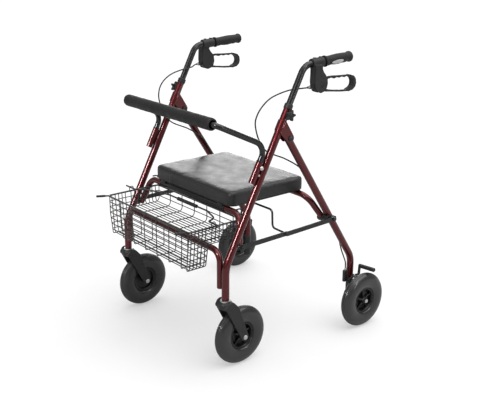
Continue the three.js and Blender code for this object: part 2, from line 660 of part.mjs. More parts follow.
function sideParts(tag) {
  const side = new THREE.Group();
  const frontCentre = [CASTER_TRAIL, WHEEL_R];
  const rearCentre = [REAR_AXLE.y, REAR_AXLE.z];
  const barIn = [LEG_X + 16.6, LEG_X + 20.2];
  const barOut = [LEG_X + 21, LEG_X + 24.6];
  side.add(
    mesh(`front_leg_${tag}`, "red", frontLeg()),
    mesh(`leg_collar_${tag}`, "dark_plastic", collar()),
    meshAt(`star_knob_${tag}`, "dark_plastic", knobSolid(KNOB_AT), KNOB_AT),
    meshAt(`gusset_${tag}`, "red", gusset(), PIVOT),
    mesh(`backrest_socket_${tag}`, "red", backrestSocket()),
    mesh(`brace_front_bracket_${tag}`, "dark_steel", braceFrontBracket()),
    mesh(`handle_tube_${tag}`, "black_gloss", handleTube()),
    mesh(`hand_grip_${tag}`, "rubber", grip()),
    meshAt(`brake_housing_${tag}`, "dark_plastic", brakeHousing(), BRAKE_PIVOT),
    meshAt(`brake_lever_${tag}`, "dark_plastic", brakeLever(), BRAKE_PIVOT),
    meshAt(`caster_fork_${tag}`, "dark_plastic", casterFork(), vec(LEG_X, 0, STEM_Z)),
    meshAt(`front_tyre_${tag}`, "rubber", tyre(LEG_X, frontCentre), vec(LEG_X, ...frontCentre)),
    meshAt(`front_hub_${tag}`, "dark_plastic", hub(LEG_X, frontCentre, 19), vec(LEG_X, ...frontCentre)),
    meshAt(`rear_leg_${tag}`, "red", rearLeg(), PIVOT),
    mesh(`rear_axle_${tag}`, "zinc", rearAxle()),
    meshAt(`rear_tyre_${tag}`, "rubber", tyre(REAR_AXLE.x, rearCentre), REAR_AXLE),
    meshAt(`rear_hub_${tag}`, "dark_plastic", hub(REAR_AXLE.x, rearCentre, 52), REAR_AXLE),
    mesh(`brace_rear_clamp_${tag}`, "dark_steel", braceRearClamp()),
    mesh(`brace_bar_front_${tag}`, "dark_steel", braceBar(...barIn, BRACE_FRONT, BRACE_MIDDLE, 4.1, 3.9)),
    mesh(`brace_bar_rear_${tag}`, "dark_steel", braceBar(...barOut, BRACE_REAR, BRACE_MIDDLE, 4.1, 4.3)),
    mesh(`brake_bracket_${tag}`, "dark_steel", brakeBracket()),
    meshAt(`brake_rocker_${tag}`, "dark_steel", brakeRocker(), vec(LEG_X + 17, ROCKER_PIVOT.y, ROCKER_PIVOT.z)),
    mesh(`brake_cable_upper_${tag}`, "rubber", cable(CABLE_UPPER)),
    mesh(`brake_cable_lower_${tag}`, "rubber", cable(CABLE_LOWER)),
  );
  return side;
}

function centreParts() {
  const centre = new THREE.Group();
  const cushion = roundedBox(SEAT_HALF_W, SEAT_Y, [SEAT_Z[0] + 8 + GAP, SEAT_Z[1]], 32, 9, 3);
  centre.add(
    mesh("seat_front_tube", "red", seatTube()),
    mesh("lower_cross_tube", "red", lowerCrossTube()),
    mesh("rear_cross_tube", "red", rearTube()),
    mesh("brace_lift_rod", "black_gloss", liftRod()),
    mesh("seat_cushion", "vinyl", cushion),
    mesh("seat_board", "dark_plastic", seatBoard()),
    mesh("seat_hinge_sleeve", "dark_plastic", seatHingeSleeve()),
    mesh("backrest_tube", "black_gloss", backrestTube()),
    mesh("backrest_foam", "foam", backrestFoam()),
    mesh("basket_shell", "black_gloss", basketShell()),
    mesh("basket_bail", "black_gloss", basketBail()),
  );
  return centre;
}

const rollator = new THREE.Group();
rollator.name = "rollator_walker";
const leftSide = sideParts("L");
const rightSide = sideParts("R");
rightSide.scale.x = -1;
rollator.add(leftSide, rightSide, centreParts());
rollator.position.y = -MIDDLE_Y;

export default rollator;
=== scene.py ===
import json
import math

import bmesh
import bpy
import numpy as np
from mathutils import Matrix, Vector, noise
from mathutils.bvhtree import BVHTree

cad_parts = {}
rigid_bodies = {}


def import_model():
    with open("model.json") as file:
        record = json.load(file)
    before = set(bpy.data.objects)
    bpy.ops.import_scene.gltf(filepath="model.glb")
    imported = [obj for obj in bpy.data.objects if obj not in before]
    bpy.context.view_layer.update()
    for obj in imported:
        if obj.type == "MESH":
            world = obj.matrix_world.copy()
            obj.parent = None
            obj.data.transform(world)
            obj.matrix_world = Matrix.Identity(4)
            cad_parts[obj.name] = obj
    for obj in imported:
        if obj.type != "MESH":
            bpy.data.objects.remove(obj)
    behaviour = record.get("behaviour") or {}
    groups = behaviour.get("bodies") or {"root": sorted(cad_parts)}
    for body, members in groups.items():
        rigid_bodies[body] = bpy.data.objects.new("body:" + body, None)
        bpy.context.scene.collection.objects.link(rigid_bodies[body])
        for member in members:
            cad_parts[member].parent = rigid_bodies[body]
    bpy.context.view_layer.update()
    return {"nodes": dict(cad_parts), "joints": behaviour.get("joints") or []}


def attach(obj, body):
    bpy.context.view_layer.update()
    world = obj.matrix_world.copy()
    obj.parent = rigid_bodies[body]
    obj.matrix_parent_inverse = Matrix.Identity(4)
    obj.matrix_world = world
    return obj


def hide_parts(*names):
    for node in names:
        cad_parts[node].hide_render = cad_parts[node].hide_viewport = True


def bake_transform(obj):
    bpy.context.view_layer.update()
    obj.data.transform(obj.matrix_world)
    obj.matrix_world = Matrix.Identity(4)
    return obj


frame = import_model()

# Millimetres. Y is counted from the caster stems, as on the drawing. to_row() turns that into the row frame.
JOINTS = {j["name"]: j for j in frame["joints"]}
STEM = Vector(JOINTS["caster_swivel_L"]["pos_m"]) * 1000
LEG_X = STEM.x
STEM_Z = STEM.z
WHEEL_R = 101
TYRE_HALF = 21
LEG_R = 12.7
HANDLE_R = 10.9
TUBE_R = 11
CROSS_R = 10.5
LEAN = Vector((0, 0.4624, 0.8867))
FRONT_TOP = Vector((LEG_X, 252, 839))
HANDLE_CORNER = Vector((LEG_X, 322, 973))
GRIP_END_Y = 527
GRIP_RISE = math.tan(math.radians(3))
PIVOT = Vector((LEG_X, 255, 744))
REAR_AXLE = Vector((361, 582, WHEEL_R))
CASTER_AXLE = Vector((LEG_X, 60, WHEEL_R))
BRAKE_PIVOT = Vector((303, 380, 906))
CLAMP_SCREWS_Y = (366, 392)
ROCKER_PIVOT = (586, 176)
BRAKE_BAR = (614.5, 207)
BRACE_FRONT = (54, 418)
BRACE_MIDDLE = (243, 421)
BRACE_REAR = (462, 426)
SEAT_TUBE = (88, 507.3)
SEAT_Y = (76, 412)
SEAT_TOP = 571
SEAT_HALF_W = 224
CUSHION_Z = 519
SEAT_MIDDLE_Y = sum(SEAT_Y) / 2
SEAT_CORNER = 26
CUSHION_MESH = 0.0055
BACK = (-10, 815)
SOCKET_GAP = 29
FOAM_HALF = 243
RIM_Z = 482
SHELF_Z = 422.5
DEEP_Z = 343.5
BASKET_HALF_W = 244
BASKET_Y = (-106, 106)
DEEP_BACK_Y = -25
WIRE_R = 1.65
RIM_WIRE_R = 3.1
BAIL_PIVOT = (-9, 493)
BAIL_SLOPE = -0.1
SIDES = (("L", 1), ("R", -1))


def to_row(x, y, z):
    return Vector((x / 1000, (y + STEM.y) / 1000, z / 1000))


def leg_y(z):
    return FRONT_TOP.y - (FRONT_TOP.z - z) * LEAN.y / LEAN.z


def rear_leg_y(z):
    return PIVOT.y + (PIVOT.z - z) * 0.66


def along_lean(distance):
    return FRONT_TOP + LEAN * distance


def grip_point(y, drop=0):
    return Vector((LEG_X, y, HANDLE_CORNER.z + (y - HANDLE_CORNER.y) * GRIP_RISE - drop))


def both_sides(left):
    """A route that runs in from the left end and out again on the right."""
    left = [Vector(p) for p in left]
    return left + [Vector((-p.x, p.y, p.z)) for p in reversed(left)]


# ---------------------------------------------------------------- shapes


class Shape:
    """Vertices and faces of one piece, in millimetres."""

    def __init__(self):
        self.verts = []
        self.faces = []

    def add(self, verts, faces):
        base = len(self.verts)
        self.verts.extend(Vector(v) for v in verts)
        self.faces.extend(tuple(base + i for i in f) for f in faces)
        return self

    def move(self, change):
        self.verts = [change(v) for v in self.verts]
        return self


def rings_to_faces(rings, sides, start=0):
    faces = []
    for k in range(rings - 1):
        for i in range(sides):
            j = (i + 1) % sides
            a = start + k * sides
            faces.append((a + i, a + j, a + sides + j, a + sides + i))
    return faces


def sweep(points, radius, sides=24, chamfer=1.0):
    """A round bar along points, with chamfered flat ends."""
    points = [Vector(p) for p in points]
    radii = [radius] * len(points) if isinstance(radius, (int, float)) else list(radius)
    tangents = []
    for i in range(len(points)):
        ahead = points[min(i + 1, len(points) - 1)]
        behind = points[max(i - 1, 0)]
        tangents.append((ahead - behind).normalized())
    side = tangents[0].orthogonal().normalized()
    stations = []
    for i, (p, t) in enumerate(zip(points, tangents)):
        if i:
            side = tangents[i - 1].rotation_difference(t) @ side
        side = (side - t * side.dot(t)).normalized()
        stations.append((p, t, side, radii[i]))
    bevel = min(chamfer, radii[0] * 0.35)
    first, last = stations[0], stations[-1]
    full = [(first[0], first[1], first[2], first[3] - bevel)]
    full.append((first[0] + first[1] * bevel, *first[1:]))
    full += stations[1:-1]
    full.append((last[0] - last[1] * bevel, *last[1:]))
    full.append((last[0], last[1], last[2], last[3] - bevel))
    verts = []
    for p, t, side, r in full:
        up = t.cross(side)
        for i in range(sides):
            a = 2 * math.pi * i / sides
            verts.append(p + side * (r * math.cos(a)) + up * (r * math.sin(a)))
    faces = rings_to_faces(len(full), sides)
    faces.append(tuple(reversed(range(sides))))
    faces.append(tuple(range(len(verts) - sides, len(verts))))
    return verts, faces


def bend(corners, radii, per_bend=12):
    """Points of a route through corners, each rounded to its radius."""
    corners = [Vector(c) for c in corners]
    route = [corners[0]]
    for i in range(1, len(corners) - 1):
        before = (corners[i] - corners[i - 1]).normalized()
        after = (corners[i + 1] - corners[i]).normalized()
        angle = before.angle(after)
        start = corners[i] - before * (radii[i - 1] * math.tan(angle / 2))
        inward = (after - before * after.dot(before)).normalized()
        for k in range(per_bend + 1):
            a = angle * k / per_bend
            along, across = radii[i - 1] * math.sin(a), radii[i - 1] * (1 - math.cos(a))
            route.append(start + before * along + inward * across)
    route.append(corners[-1])
    return route


def smooth_route(points, per_span=6):
    """A centripetal Catmull-Rom curve through points."""
    points = [Vector(p) for p in points]
    ends = [points[0] * 2 - points[1]] + points + [points[-1] * 2 - points[-2]]
    route = []
    for i in range(1, len(ends) - 2):
        p = ends[i - 1 : i + 3]
        t = [0.0]
        for a, b in zip(p, p[1:]):
            t.append(t[-1] + math.sqrt((b - a).length))
        for k in range(per_span):
            s = t[1] + (t[2] - t[1]) * k / per_span
            a1 = p[0].lerp(p[1], (s - t[0]) / (t[1] - t[0]))
            a2 = p[1].lerp(p[2], (s - t[1]) / (t[2] - t[1]))
            a3 = p[2].lerp(p[3], (s - t[2]) / (t[3] - t[2]))
            b1 = a1.lerp(a2, (s - t[0]) / (t[2] - t[0]))
            b2 = a2.lerp(a3, (s - t[1]) / (t[3] - t[1]))
            route.append(b1.lerp(b2, (s - t[1]) / (t[2] - t[1])))
    return route + [points[-1]]


def lathe(profile, centre, axis=(1, 0, 0), segments=64):
    """A turned solid from (radius, distance along axis) points that start and end on the axis, or close."""
    axis = Vector(axis).normalized()
    side = axis.orthogonal().normalized()
    up = axis.cross(side)
    closed = profile[0] == profile[-1] and profile[0][0] > 0
    points = profile[:-1] if closed else profile
    verts = []
    starts = []
    for r, a in points:
        starts.append(len(verts))
        at = Vector(centre) + axis * a
        if r < 1e-6:
            verts.append(at)
            continue
        for i in range(segments):
            turn = 2 * math.pi * i / segments
            verts.append(at + side * (r * math.cos(turn)) + up * (r * math.sin(turn)))
    faces = []
    count = len(points)
    for k in range(count if closed else count - 1):
        n = (k + 1) % count
        one, two = points[k][0] < 1e-6, points[n][0] < 1e-6
        for i in range(segments):
            j = (i + 1) % segments
            if one and not two:
                faces.append((starts[k], starts[n] + j, starts[n] + i))
            elif two and not one:
                faces.append((starts[k] + i, starts[k] + j, starts[n]))
            elif not one:
                faces.append((starts[k] + i, starts[k] + j, starts[n] + j, starts[n] + i))
    return verts, faces


def rounded(profile, radius, steps=4):
    """A profile whose inner corners are rounded."""
    flat = [Vector((r, a, 0)) for r, a in profile]
    made = [tuple(profile[0])]
    for i in range(1, len(flat) - 1):
        before, after = flat[i] - flat[i - 1], flat[i + 1] - flat[i]
        reach = min(radius, before.length * 0.45, after.length * 0.45)
        if before.angle(after, 0) < 0.05 or reach < 0.05:
            made.append(tuple(profile[i]))
            continue
        a = flat[i] - before.normalized() * reach
        b = flat[i] + after.normalized() * reach
        for k in range(steps + 1):
            t = k / steps
            p = a * (1 - t) ** 2 + flat[i] * (2 * t * (1 - t)) + b * t**2
            made.append((p.x, p.y))
    made.append(tuple(profile[-1]))
    return made


def plate(x0, x1, outline, edge=0.6):
    """A flat plate across X from an outline of (y, z) points, its edges chamfered."""
    centre = Vector((sum(p[0] for p in outline), sum(p[1] for p in outline), 0)) / len(outline)
    inner = []
    for y, z in outline:
        d = Vector((y, z, 0)) - centre
        p = centre + d * max(0, 1 - edge / d.length)
        inner.append((p.x, p.y))
    n = len(outline)
    layers = [(x0, inner), (x0 + edge, outline), (x1 - edge, outline), (x1, inner)]
    verts = [Vector((x, y, z)) for x, line in layers for y, z in line]
    faces = rings_to_faces(4, n)
    faces.append(tuple(reversed(range(n))))
    faces.append(tuple(range(3 * n, 4 * n)))
    return verts, faces


def capsule_outline(a, b, r, steps=12):
    """The outline round two (y, z) points."""
    along = math.atan2(b[1] - a[1], b[0] - a[0])
    points = []
    for centre, start in ((b, along - math.pi / 2), (a, along + math.pi / 2)):
        for k in range(steps + 1):
            t = start + math.pi * k / steps
            points.append((centre[0] + r * math.cos(t), centre[1] + r * math.sin(t)))
    return points


def hull_outline(circles, steps=24):
    """The convex outline round (y, z, radius) circles."""
    points = sorted((y + r * math.cos(2 * math.pi * i / steps), z + r * math.sin(2 * math.pi * i / steps))
                    for y, z, r in circles for i in range(steps))

    def chain(line):
        kept = []
        for p in line:
            while len(kept) > 1:
                a, b = kept[-2:]
                if (b[0] - a[0]) * (p[1] - a[1]) - (b[1] - a[1]) * (p[0] - a[0]) > 1e-6:
                    break
                kept.pop()
            kept.append(p)
        return kept[:-1]

    return chain(points) + chain(points[::-1])


# ---------------------------------------------------------------- pieces


def mesh_of(name, shape, side):
    """A mesh in the row frame from a shape in millimetres, its faces turned outwards."""
    verts, faces = (shape.verts, shape.faces) if isinstance(shape, Shape) else shape
    mesh = bpy.data.meshes.new(name)
    mesh.from_pydata([to_row(side * v[0], v[1], v[2]) for v in verts], [], [tuple(f) for f in faces])
    work = bmesh.new()
    work.from_mesh(mesh)
    bmesh.ops.recalc_face_normals(work, faces=work.faces)
    work.to_mesh(mesh)
    work.free()
    return mesh


def placed(name, data):
    """A new object in the scene."""
    made = bpy.data.objects.new(name, data)
    bpy.context.scene.collection.objects.link(made)
    return made


def settle(name, mesh, material, body, sharp=35, replaces=()):
    """Makes a mesh into an object on a body. It replaces the CAD node of its name, or the nodes given."""
    for face in mesh.polygons:
        face.use_smooth = True
    mesh.set_sharp_from_angle(angle=math.radians(sharp))
    mesh.materials.clear()
    mesh.materials.append(material)
    piece = placed(name, mesh)
    if body:
        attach(piece, body)
    if name in frame["nodes"]:
        replaces = (name,)
    if replaces:
        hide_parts(*replaces)
    return piece


def put(name, shape, material, body, side=1, sharp=35, replaces=()):
    return settle(name, mesh_of(name, shape, side), material, body, sharp, replaces)


def evaluated_mesh(mesh, *steps):
    """The mesh after modifiers, each given as (type, settings)."""
    temp = placed("temp", mesh)
    for kind, settings in steps:
        modifier = temp.modifiers.new(kind.lower(), kind)
        for key, value in settings.items():
            setattr(modifier, key, value)
    bpy.context.view_layer.update()
    graph = bpy.context.evaluated_depsgraph_get()
    made = bpy.data.meshes.new_from_object(temp.evaluated_get(graph))
    bpy.data.objects.remove(temp)
    return made


def softened(name, mesh, voxel, rounds):
    """A mesh whose edges are rounded as on a moulded or pressed piece."""
    mesh = evaluated_mesh(
        mesh,
        ("REMESH", {"mode": "VOXEL", "voxel_size": voxel / 1000, "use_smooth_shade": True}),
        ("SMOOTH", {"factor": 0.5, "iterations": rounds}),
    )
    mesh.name = name
    return mesh


def on_sides(body):
    """The letter, the sign and the body of each side. A body that ends in _ gets the side's letter."""
    return [(tag, side, body + tag if body.endswith("_") else body) for tag, side in SIDES]


def pair(name, shape, material, body, sharp=35, replaces=None):
    """A piece on the left and its mirror image on the right."""
    for tag, side, on in on_sides(body):
        nodes = (f"{replaces}_{tag}",) if replaces else ()
        put(f"{name}_{tag}", shape, material, on, side, sharp, nodes)


def turned(name, profile, at, material, body, soft=0, axis=(1, 0, 0), segments=64):
    """A turned fitting on both sides, its profile's corners rounded by soft."""
    pair(name, lathe(rounded(profile, soft) if soft else profile, at, axis, segments), material, body)


def moulded(node, name, material, body, voxel, rounds):
    """A softer copy of a CAD node, on both sides."""
    for tag, _, on in on_sides(body):
        source = f"{node}_{tag}"
        mesh = softened(f"{name}_{tag}", frame["nodes"][source].data.copy(), voxel, rounds)
        settle(f"{name}_{tag}", mesh, material, on, 60, (source,))


def fused(name, shapes, material, body, replaces, voxel, rounds, sharp=60):
    """Overlapping shapes that become one moulded piece, on both sides."""
    whole = Shape()
    for verts, faces in shapes:
        whole.add(verts, faces)
    for tag, side, on in on_sides(body):
        mesh = softened(f"{name}_{tag}", mesh_of(name, whole, side), voxel, rounds)
        settle(f"{name}_{tag}", mesh, material, on, sharp, (f"{replaces}_{tag}",))


def keep_node(node, material, bevel=0.5):
    """A CAD node that shows as it is, with eased edges."""
    piece = frame["nodes"][node]
    piece.data.materials.clear()
    piece.data.materials.append(material)
    for face in piece.data.polygons:
        face.use_smooth = True
        face.material_index = 0
    weld = piece.modifiers.new("weld", "WELD")
    weld.merge_threshold = 0.00001
    edges = piece.modifiers.new("edges", "BEVEL")
    edges.width = bevel / 1000
    edges.segments = 2
    edges.limit_method = "ANGLE"
    edges.angle_limit = math.radians(40)
    edges.harden_normals = True
    return piece


# ---------------------------------------------------------------- materials


class Nodes:
    """A material's node tree, with short ways to add to it."""

    def __init__(self, name, **settings):
        self.material = bpy.data.materials.new(name)
        self.material.use_nodes = True
        self.tree = self.material.node_tree
        self.shader = self.tree.nodes["Principled BSDF"]
        for key, value in settings.items():
            self.shader.inputs[key.replace("_", " ")].default_value = value
        self.place = self.tree.nodes.new("ShaderNodeTexCoord").outputs["Object"]

    def node(self, kind, inputs=(), **settings):
        made = self.tree.nodes.new("ShaderNode" + kind)
        for key, value in settings.items():
            setattr(made, key, value)
        for key, value in dict(inputs).items():
            if isinstance(value, bpy.types.NodeSocket):
                self.tree.links.new(value, made.inputs[key])
            else:
                made.inputs[key].default_value = value
        return made

    def noise(self, scale, detail, rough=0.5):
        inputs = {"Vector": self.place, "Scale": scale, "Detail": detail, "Roughness": rough}
        return self.node("TexNoise", inputs).outputs["Fac"]

    def cells(self, scale, feature="F1"):
        inputs = {"Vector": self.place, "Scale": scale}
        return self.node("TexVoronoi", inputs, feature=feature).outputs["Distance"]

    def ramp(self, value, stops):
        made = self.node("ValToRGB", {"Fac": value})
        for element, (position, color) in zip(made.color_ramp.elements, (stops[0], stops[-1])):
            element.position, element.color = position, grey(color)
        for position, colour in stops[1:-1]:
            made.color_ramp.elements.new(position).color = grey(colour)
        return made.outputs["Color"]

    def span(self, value, low, high, out_low, out_high):
        inputs = {"Value": value, "From Min": low, "From Max": high, "To Min": out_low, "To Max": out_high}
        return self.node("MapRange", inputs).outputs["Result"]

    def mix(self, a, b, share, blend="MIX"):
        made = self.node("Mix", data_type="RGBA", blend_type=blend)
        for key, value in ((0, share), (6, a), (7, b)):
            if isinstance(value, bpy.types.NodeSocket):
                self.tree.links.new(value, made.inputs[key])
            else:
                made.inputs[key].default_value = value
        return made.outputs[2]

    def set(self, key, value):
        self.tree.links.new(value, self.shader.inputs[key])

    def gloss(self, grain, low, high):
        self.set("Roughness", self.span(self.noise(*grain), 0.3, 0.7, low, high))

    def bump(self, *layers):
        """Layers of (height, strength, distance in millimetres), each over the one before."""
        normal = None
        for height, strength, distance in layers:
            inputs = {"Height": height, "Strength": strength, "Distance": distance / 1000}
            if normal:
                inputs["Normal"] = normal
            normal = self.node("Bump", inputs).outputs["Normal"]
        self.set("Normal", normal)


def grey(value):
    return (value, value, value, 1) if isinstance(value, (int, float)) else (*value, 1)


def wear(n, scale, share):
    """A mask of small rubbed places."""
    return n.span(n.noise(scale, 6, 0.7), 0.62, 0.8, 0.0, share)


def surface(name, tone, stops, layers, gloss=None, worn=None, **settings):
    """A material made of noise, which is given by its scale and detail.

    tone is the noise behind the colour stops. Each layer of relief is noise or the scale of cells, a strength
    and a depth in millimetres. gloss is noise with the lowest and highest roughness. worn is the brightness,
    the scale and the share of small rubbed places.
    """
    n = Nodes(name, **settings)
    colour = n.ramp(n.noise(*tone), stops)
    if worn:
        colour = n.mix(colour, grey(worn[0]), wear(n, *worn[1:]))
    n.set("Base Color", colour)
    if gloss:
        n.gloss(*gloss)
    n.bump(*[(n.noise(*grain) if isinstance(grain, tuple) else n.cells(grain), strength, depth)
             for grain, strength, depth in layers])
    return n.material


def enamel():
    """Deep metallic burgundy enamel under clear lacquer."""
    n = Nodes("burgundy_enamel", Metallic=0.8, Roughness=0.3, Coat_Weight=0.8, Coat_Roughness=0.06, IOR=1.5)
    flakes = n.cells(2600)
    tone = n.ramp(n.noise(7, 3), [(0.3, (0.085, 0.003, 0.005)), (0.7, (0.120, 0.005, 0.008))])
    spark = n.ramp(flakes, [(0.0, (0.30, 0.03, 0.035)), (0.22, (0.105, 0.004, 0.007)),
                            (1.0, (0.085, 0.003, 0.005))])
    n.set("Base Color", n.mix(tone, spark, 0.35))
    n.gloss((60, 5), 0.25, 0.36)
    n.bump((n.noise(260, 2), 0.06, 0.1), (n.noise(1700, 2), 0.03, 0.02))
    return n.material


def plastic(name, low, high, rough):
    """Moulded plastic with a spark-eroded grain."""
    return surface(name, (18, 5), [(0.3, low), (0.7, high)], [(1500, 0.22, 0.12), ((40, 4), 0.08, 0.4)],
                   ((130, 4), *rough), (0.08, 90, 0.1), IOR=1.47)


def foam():
    """Closed-cell foam: a skin of fine pores with soft dents, its colour darker in the pore hollows as
    painted shade.
    """
    n = Nodes("grey_foam", IOR=1.45, Specular_IOR_Level=0.35)
    pores = n.cells(850)
    # Painted shade: the pores' colour is darker towards their middles, where the relief sinks.
    base = n.ramp(pores, [(0.05, 0.005), (0.4, 0.012)])
    n.set("Base Color", n.mix(base, grey(0.022), n.span(n.noise(16, 5), 0.35, 0.75, 0.0, 0.5)))
    n.gloss((60, 4), 0.5, 0.66)
    n.bump((pores, 0.5, 0.35), (n.noise(48, 4), 0.3, 0.9))
    return n.material


def vinyl():
    """Grained black vinyl with a soft polish; its colour is darkened in the grain's creases as painted shade.
    """
    n = Nodes("black_vinyl", IOR=1.5, Coat_Weight=0.25, Coat_Roughness=0.28)
    grain = n.cells(520, "DISTANCE_TO_EDGE")
    base = n.ramp(n.noise(9, 5), [(0.3, (0.006, 0.006, 0.0065)), (0.7, (0.011, 0.011, 0.0118))])
    # Painted shade: the colour is multiplied darker along the grain's creases, where the relief dips.
    painted_crease_shade = n.ramp(grain, [(0.0, 0.35), (0.12, 1.0)])
    n.set("Base Color", n.mix(base, painted_crease_shade, 1.0, "MULTIPLY"))
    n.gloss((26, 5), 0.34, 0.5)
    leather = n.span(grain, 0.0, 0.14, 0.0, 1.0)
    n.bump((leather, 0.28, 0.22), (n.noise(1300, 2), 0.12, 0.05), (n.noise(22, 3), 0.18, 0.8))
    return n.material


def thread():
    n = Nodes("sewing_thread", Roughness=0.7, Sheen_Weight=0.3)
    twist = n.node("TexWave", {"Vector": n.place, "Scale": 700.0, "Distortion": 1.5}).outputs["Fac"]
    # Painted shade: the colour is darker in the twist's grooves, where the relief sinks.
    n.set("Base Color", n.ramp(twist, [(0.2, 0.03), (0.9, 0.075)]))
    n.bump((twist, 0.5, 0.15))
    return n.material


def floor_paint():
    """A pale floor that glows a little to the eye, as a lit white sweep does, but not onto the object."""
    n = Nodes("floor", Roughness=0.6, Emission_Color=(1, 1, 1, 1))
    n.set("Base Color", n.ramp(n.noise(2.2, 3), [(0.3, 0.565), (0.7, 0.585)]))
    seen = n.node("LightPath").outputs["Is Camera Ray"]
    n.set("Emission Strength", n.node("Math", {0: seen, 1: 0.43}, operation="MULTIPLY").outputs[0])
    n.bump((n.noise(140, 3), 0.02, 0.3))
    return n.material


RED = enamel()
BLACK = surface("black_enamel", (14, 4), [(0.3, (0.003, 0.003, 0.0033)), (0.75, (0.006, 0.006, 0.0064))],
                [((320, 2), 0.05, 0.1), ((2200, 2), 0.03, 0.02)], ((75, 5), 0.2, 0.34),
                Roughness=0.25, Coat_Weight=0.5, Coat_Roughness=0.06, Specular_IOR_Level=0.4)
PLASTIC = plastic("black_plastic", 0.011, 0.018, (0.42, 0.56))
HUB = plastic("hub_plastic", 0.003, 0.008, (0.25, 0.4))
TYRE = surface("tyre_rubber", (11, 6, 0.6), [(0.3, (0.009, 0.009, 0.0095)), (0.72, (0.016, 0.0162, 0.0165))],
               [((900, 3), 0.18, 0.08), ((28, 4), 0.1, 0.5)], ((38, 5), 0.3, 0.44), (0.08, 45, 0.2),
               IOR=1.5, Coat_Weight=0.6, Coat_Roughness=0.1)
GRIP = surface("grip_rubber", (24, 5), [(0.3, 0.006), (0.7, 0.012)],
               [(1100, 0.4, 0.2), ((70, 3), 0.1, 0.3)], ((90, 4), 0.5, 0.66), (0.07, 120, 0.18),
               IOR=1.48, Specular_IOR_Level=0.4, Sheen_Weight=0.05, Sheen_Roughness=0.5)
FOAM = foam()
VINYL = vinyl()
THREAD = thread()
WIRE = surface("dipped_wire", (60, 4), [(0.3, 0.005), (0.7, 0.011)], [((420, 3), 0.25, 0.18)],
               ((200, 3), 0.28, 0.44), (0.06, 160, 0.25),
               Roughness=0.35, IOR=1.5, Coat_Weight=0.4, Coat_Roughness=0.2)
ZINC = surface("zinc_plate", (120, 5), [(0.3, (0.50, 0.51, 0.52)), (0.7, (0.72, 0.72, 0.70))],
               [((900, 3, 0.6), 0.15, 0.04)], ((900, 3, 0.6), 0.22, 0.42),
               Metallic=1.0, Roughness=0.3, Anisotropic=0.3)
# Black powder coat on pressed steel.
STEEL = surface("powder_coat", (30, 4), [(0.3, (0.013, 0.014, 0.014)), (0.7, (0.024, 0.025, 0.025))],
                [((1100, 3), 0.3, 0.08)], ((150, 4), 0.34, 0.5), (0.2, 110, 0.2),
                Metallic=0.35, Roughness=0.4, Coat_Weight=0.2, Coat_Roughness=0.3)
CABLE = surface("cable_sheath", (90, 3), [(0.3, 0.007), (0.7, 0.014)], [((500, 2), 0.12, 0.08)],
                ((220, 3), 0.36, 0.5), Roughness=0.42, IOR=1.48)
# The pale printed oval on the grip, with no mark on it.
INLAY = surface("grip_inlay", (50, 4), [(0.3, (0.46, 0.47, 0.47)), (0.7, (0.62, 0.62, 0.61))],
                [((800, 2), 0.1, 0.04)], Roughness=0.35, Coat_Weight=0.4)


# ---------------------------------------------------------------- frame tubes


def front_legs():
    corner = Vector((LEG_X, 0, 354.5))
    route = bend([Vector((LEG_X, 0, STEM_Z)), corner, FRONT_TOP], [110], 20)
    pair("front_leg", sweep(route, LEG_R, 40), RED, "front_frame")
    low = LEAN * 0.3
    turned("leg_collar", [(11.3, 0.3), (14.5, 0.3), (14.5, 14), (13, 17), (11.3, 17), (11.3, 0.3)],
           FRONT_TOP + low, PLASTIC, "front_frame", soft=1.2, axis=LEAN, segments=48)


def cross_tubes():
    low_x = LEG_X - 23.5
    rear_end = (LEG_X - 18, rear_leg_y(424) - 19.6, 424)
    rear_shoulder = (LEG_X - 40, rear_leg_y(509) - 19.6, 509)
    ends = {
        "seat_front_tube": ((290, 60, 412), (256, *SEAT_TUBE), 42, TUBE_R, "front_frame"),
        "lower_cross_tube": ((low_x, -4, 278), (low_x, -4, 404), 38, CROSS_R, "front_frame"),
        "rear_cross_tube": (rear_end, rear_shoulder, 48, TUBE_R, "rear_frame"),
    }
    for name, (end, shoulder, radius, tube_r, body) in ends.items():
        route = bend(both_sides([end, shoulder]), [radius, radius], 18)
        put(name, sweep(route, tube_r, 36), RED, body)


def rear_legs():
    down = Vector((0, 0.66, -1)).normalized()
    corner = Vector((LEG_X, REAR_AXLE.y, 248.5))
    route = bend([PIVOT - down * 14, corner, Vector((LEG_X, REAR_AXLE.y, 70))], [80], 20)
    pair("rear_leg", sweep(route, LEG_R, 40, 2), RED, "rear_frame")
    at = Vector((LEG_X, REAR_AXLE.y, WHEEL_R))
    shaft = Shape().add(*lathe([(0, -13), (4, -12.9), (4, 89.5), (3, 90), (0, 90)], at))
    shaft.add(*lathe([(3, 85.6), (8, 85.6), (8, 89), (6.5, 90.2), (3, 90.2), (3, 85.6)], at, segments=6))
    turned("rear_axle_head", [(0, -20), (5, -19.6), (8, -15), (8, -12.8), (0, -12.8)],
           at, STEEL, "rear_frame", soft=0.8, segments=40)
    cap = [Vector((LEG_X, REAR_AXLE.y, z)) for z in (72, 112, 158)]
    pair("rear_leg_shoe", sweep(cap, 13.4, 40, 0.6), STEEL, "rear_frame")
    pair("rear_axle", shaft, ZINC, "rear_frame")


def gussets():
    cheek = hull_outline([(leg_y(797) + 5, 797, 4), (leg_y(768) + 2, 768, 6), (PIVOT.y, PIVOT.z, 15.5)])
    folded = [sweep([along_lean(-78), along_lean(-40)], 15.3, 40, 0.8),
              plate(LEG_X + 13.4, LEG_X + 15.9, cheek, 0.6), plate(LEG_X - 15.9, LEG_X - 13.4, cheek, 0.6)]
    fused("gusset_plate", folded, RED, "front_frame", replaces="gusset", voxel=0.8, rounds=3, sharp=50)
    turned("fold_bolt_head", [(0, 15.9), (9.6, 15.9), (9.2, 19), (5.5, 22.4), (0, 22.9)],
           PIVOT, STEEL, "front_frame", soft=1.5)
    turned("fold_bolt_nut", [(0, -22.4), (7, -22.4), (8.6, -21), (8.6, -16), (0, -16)],
           PIVOT, STEEL, "front_frame", segments=6)


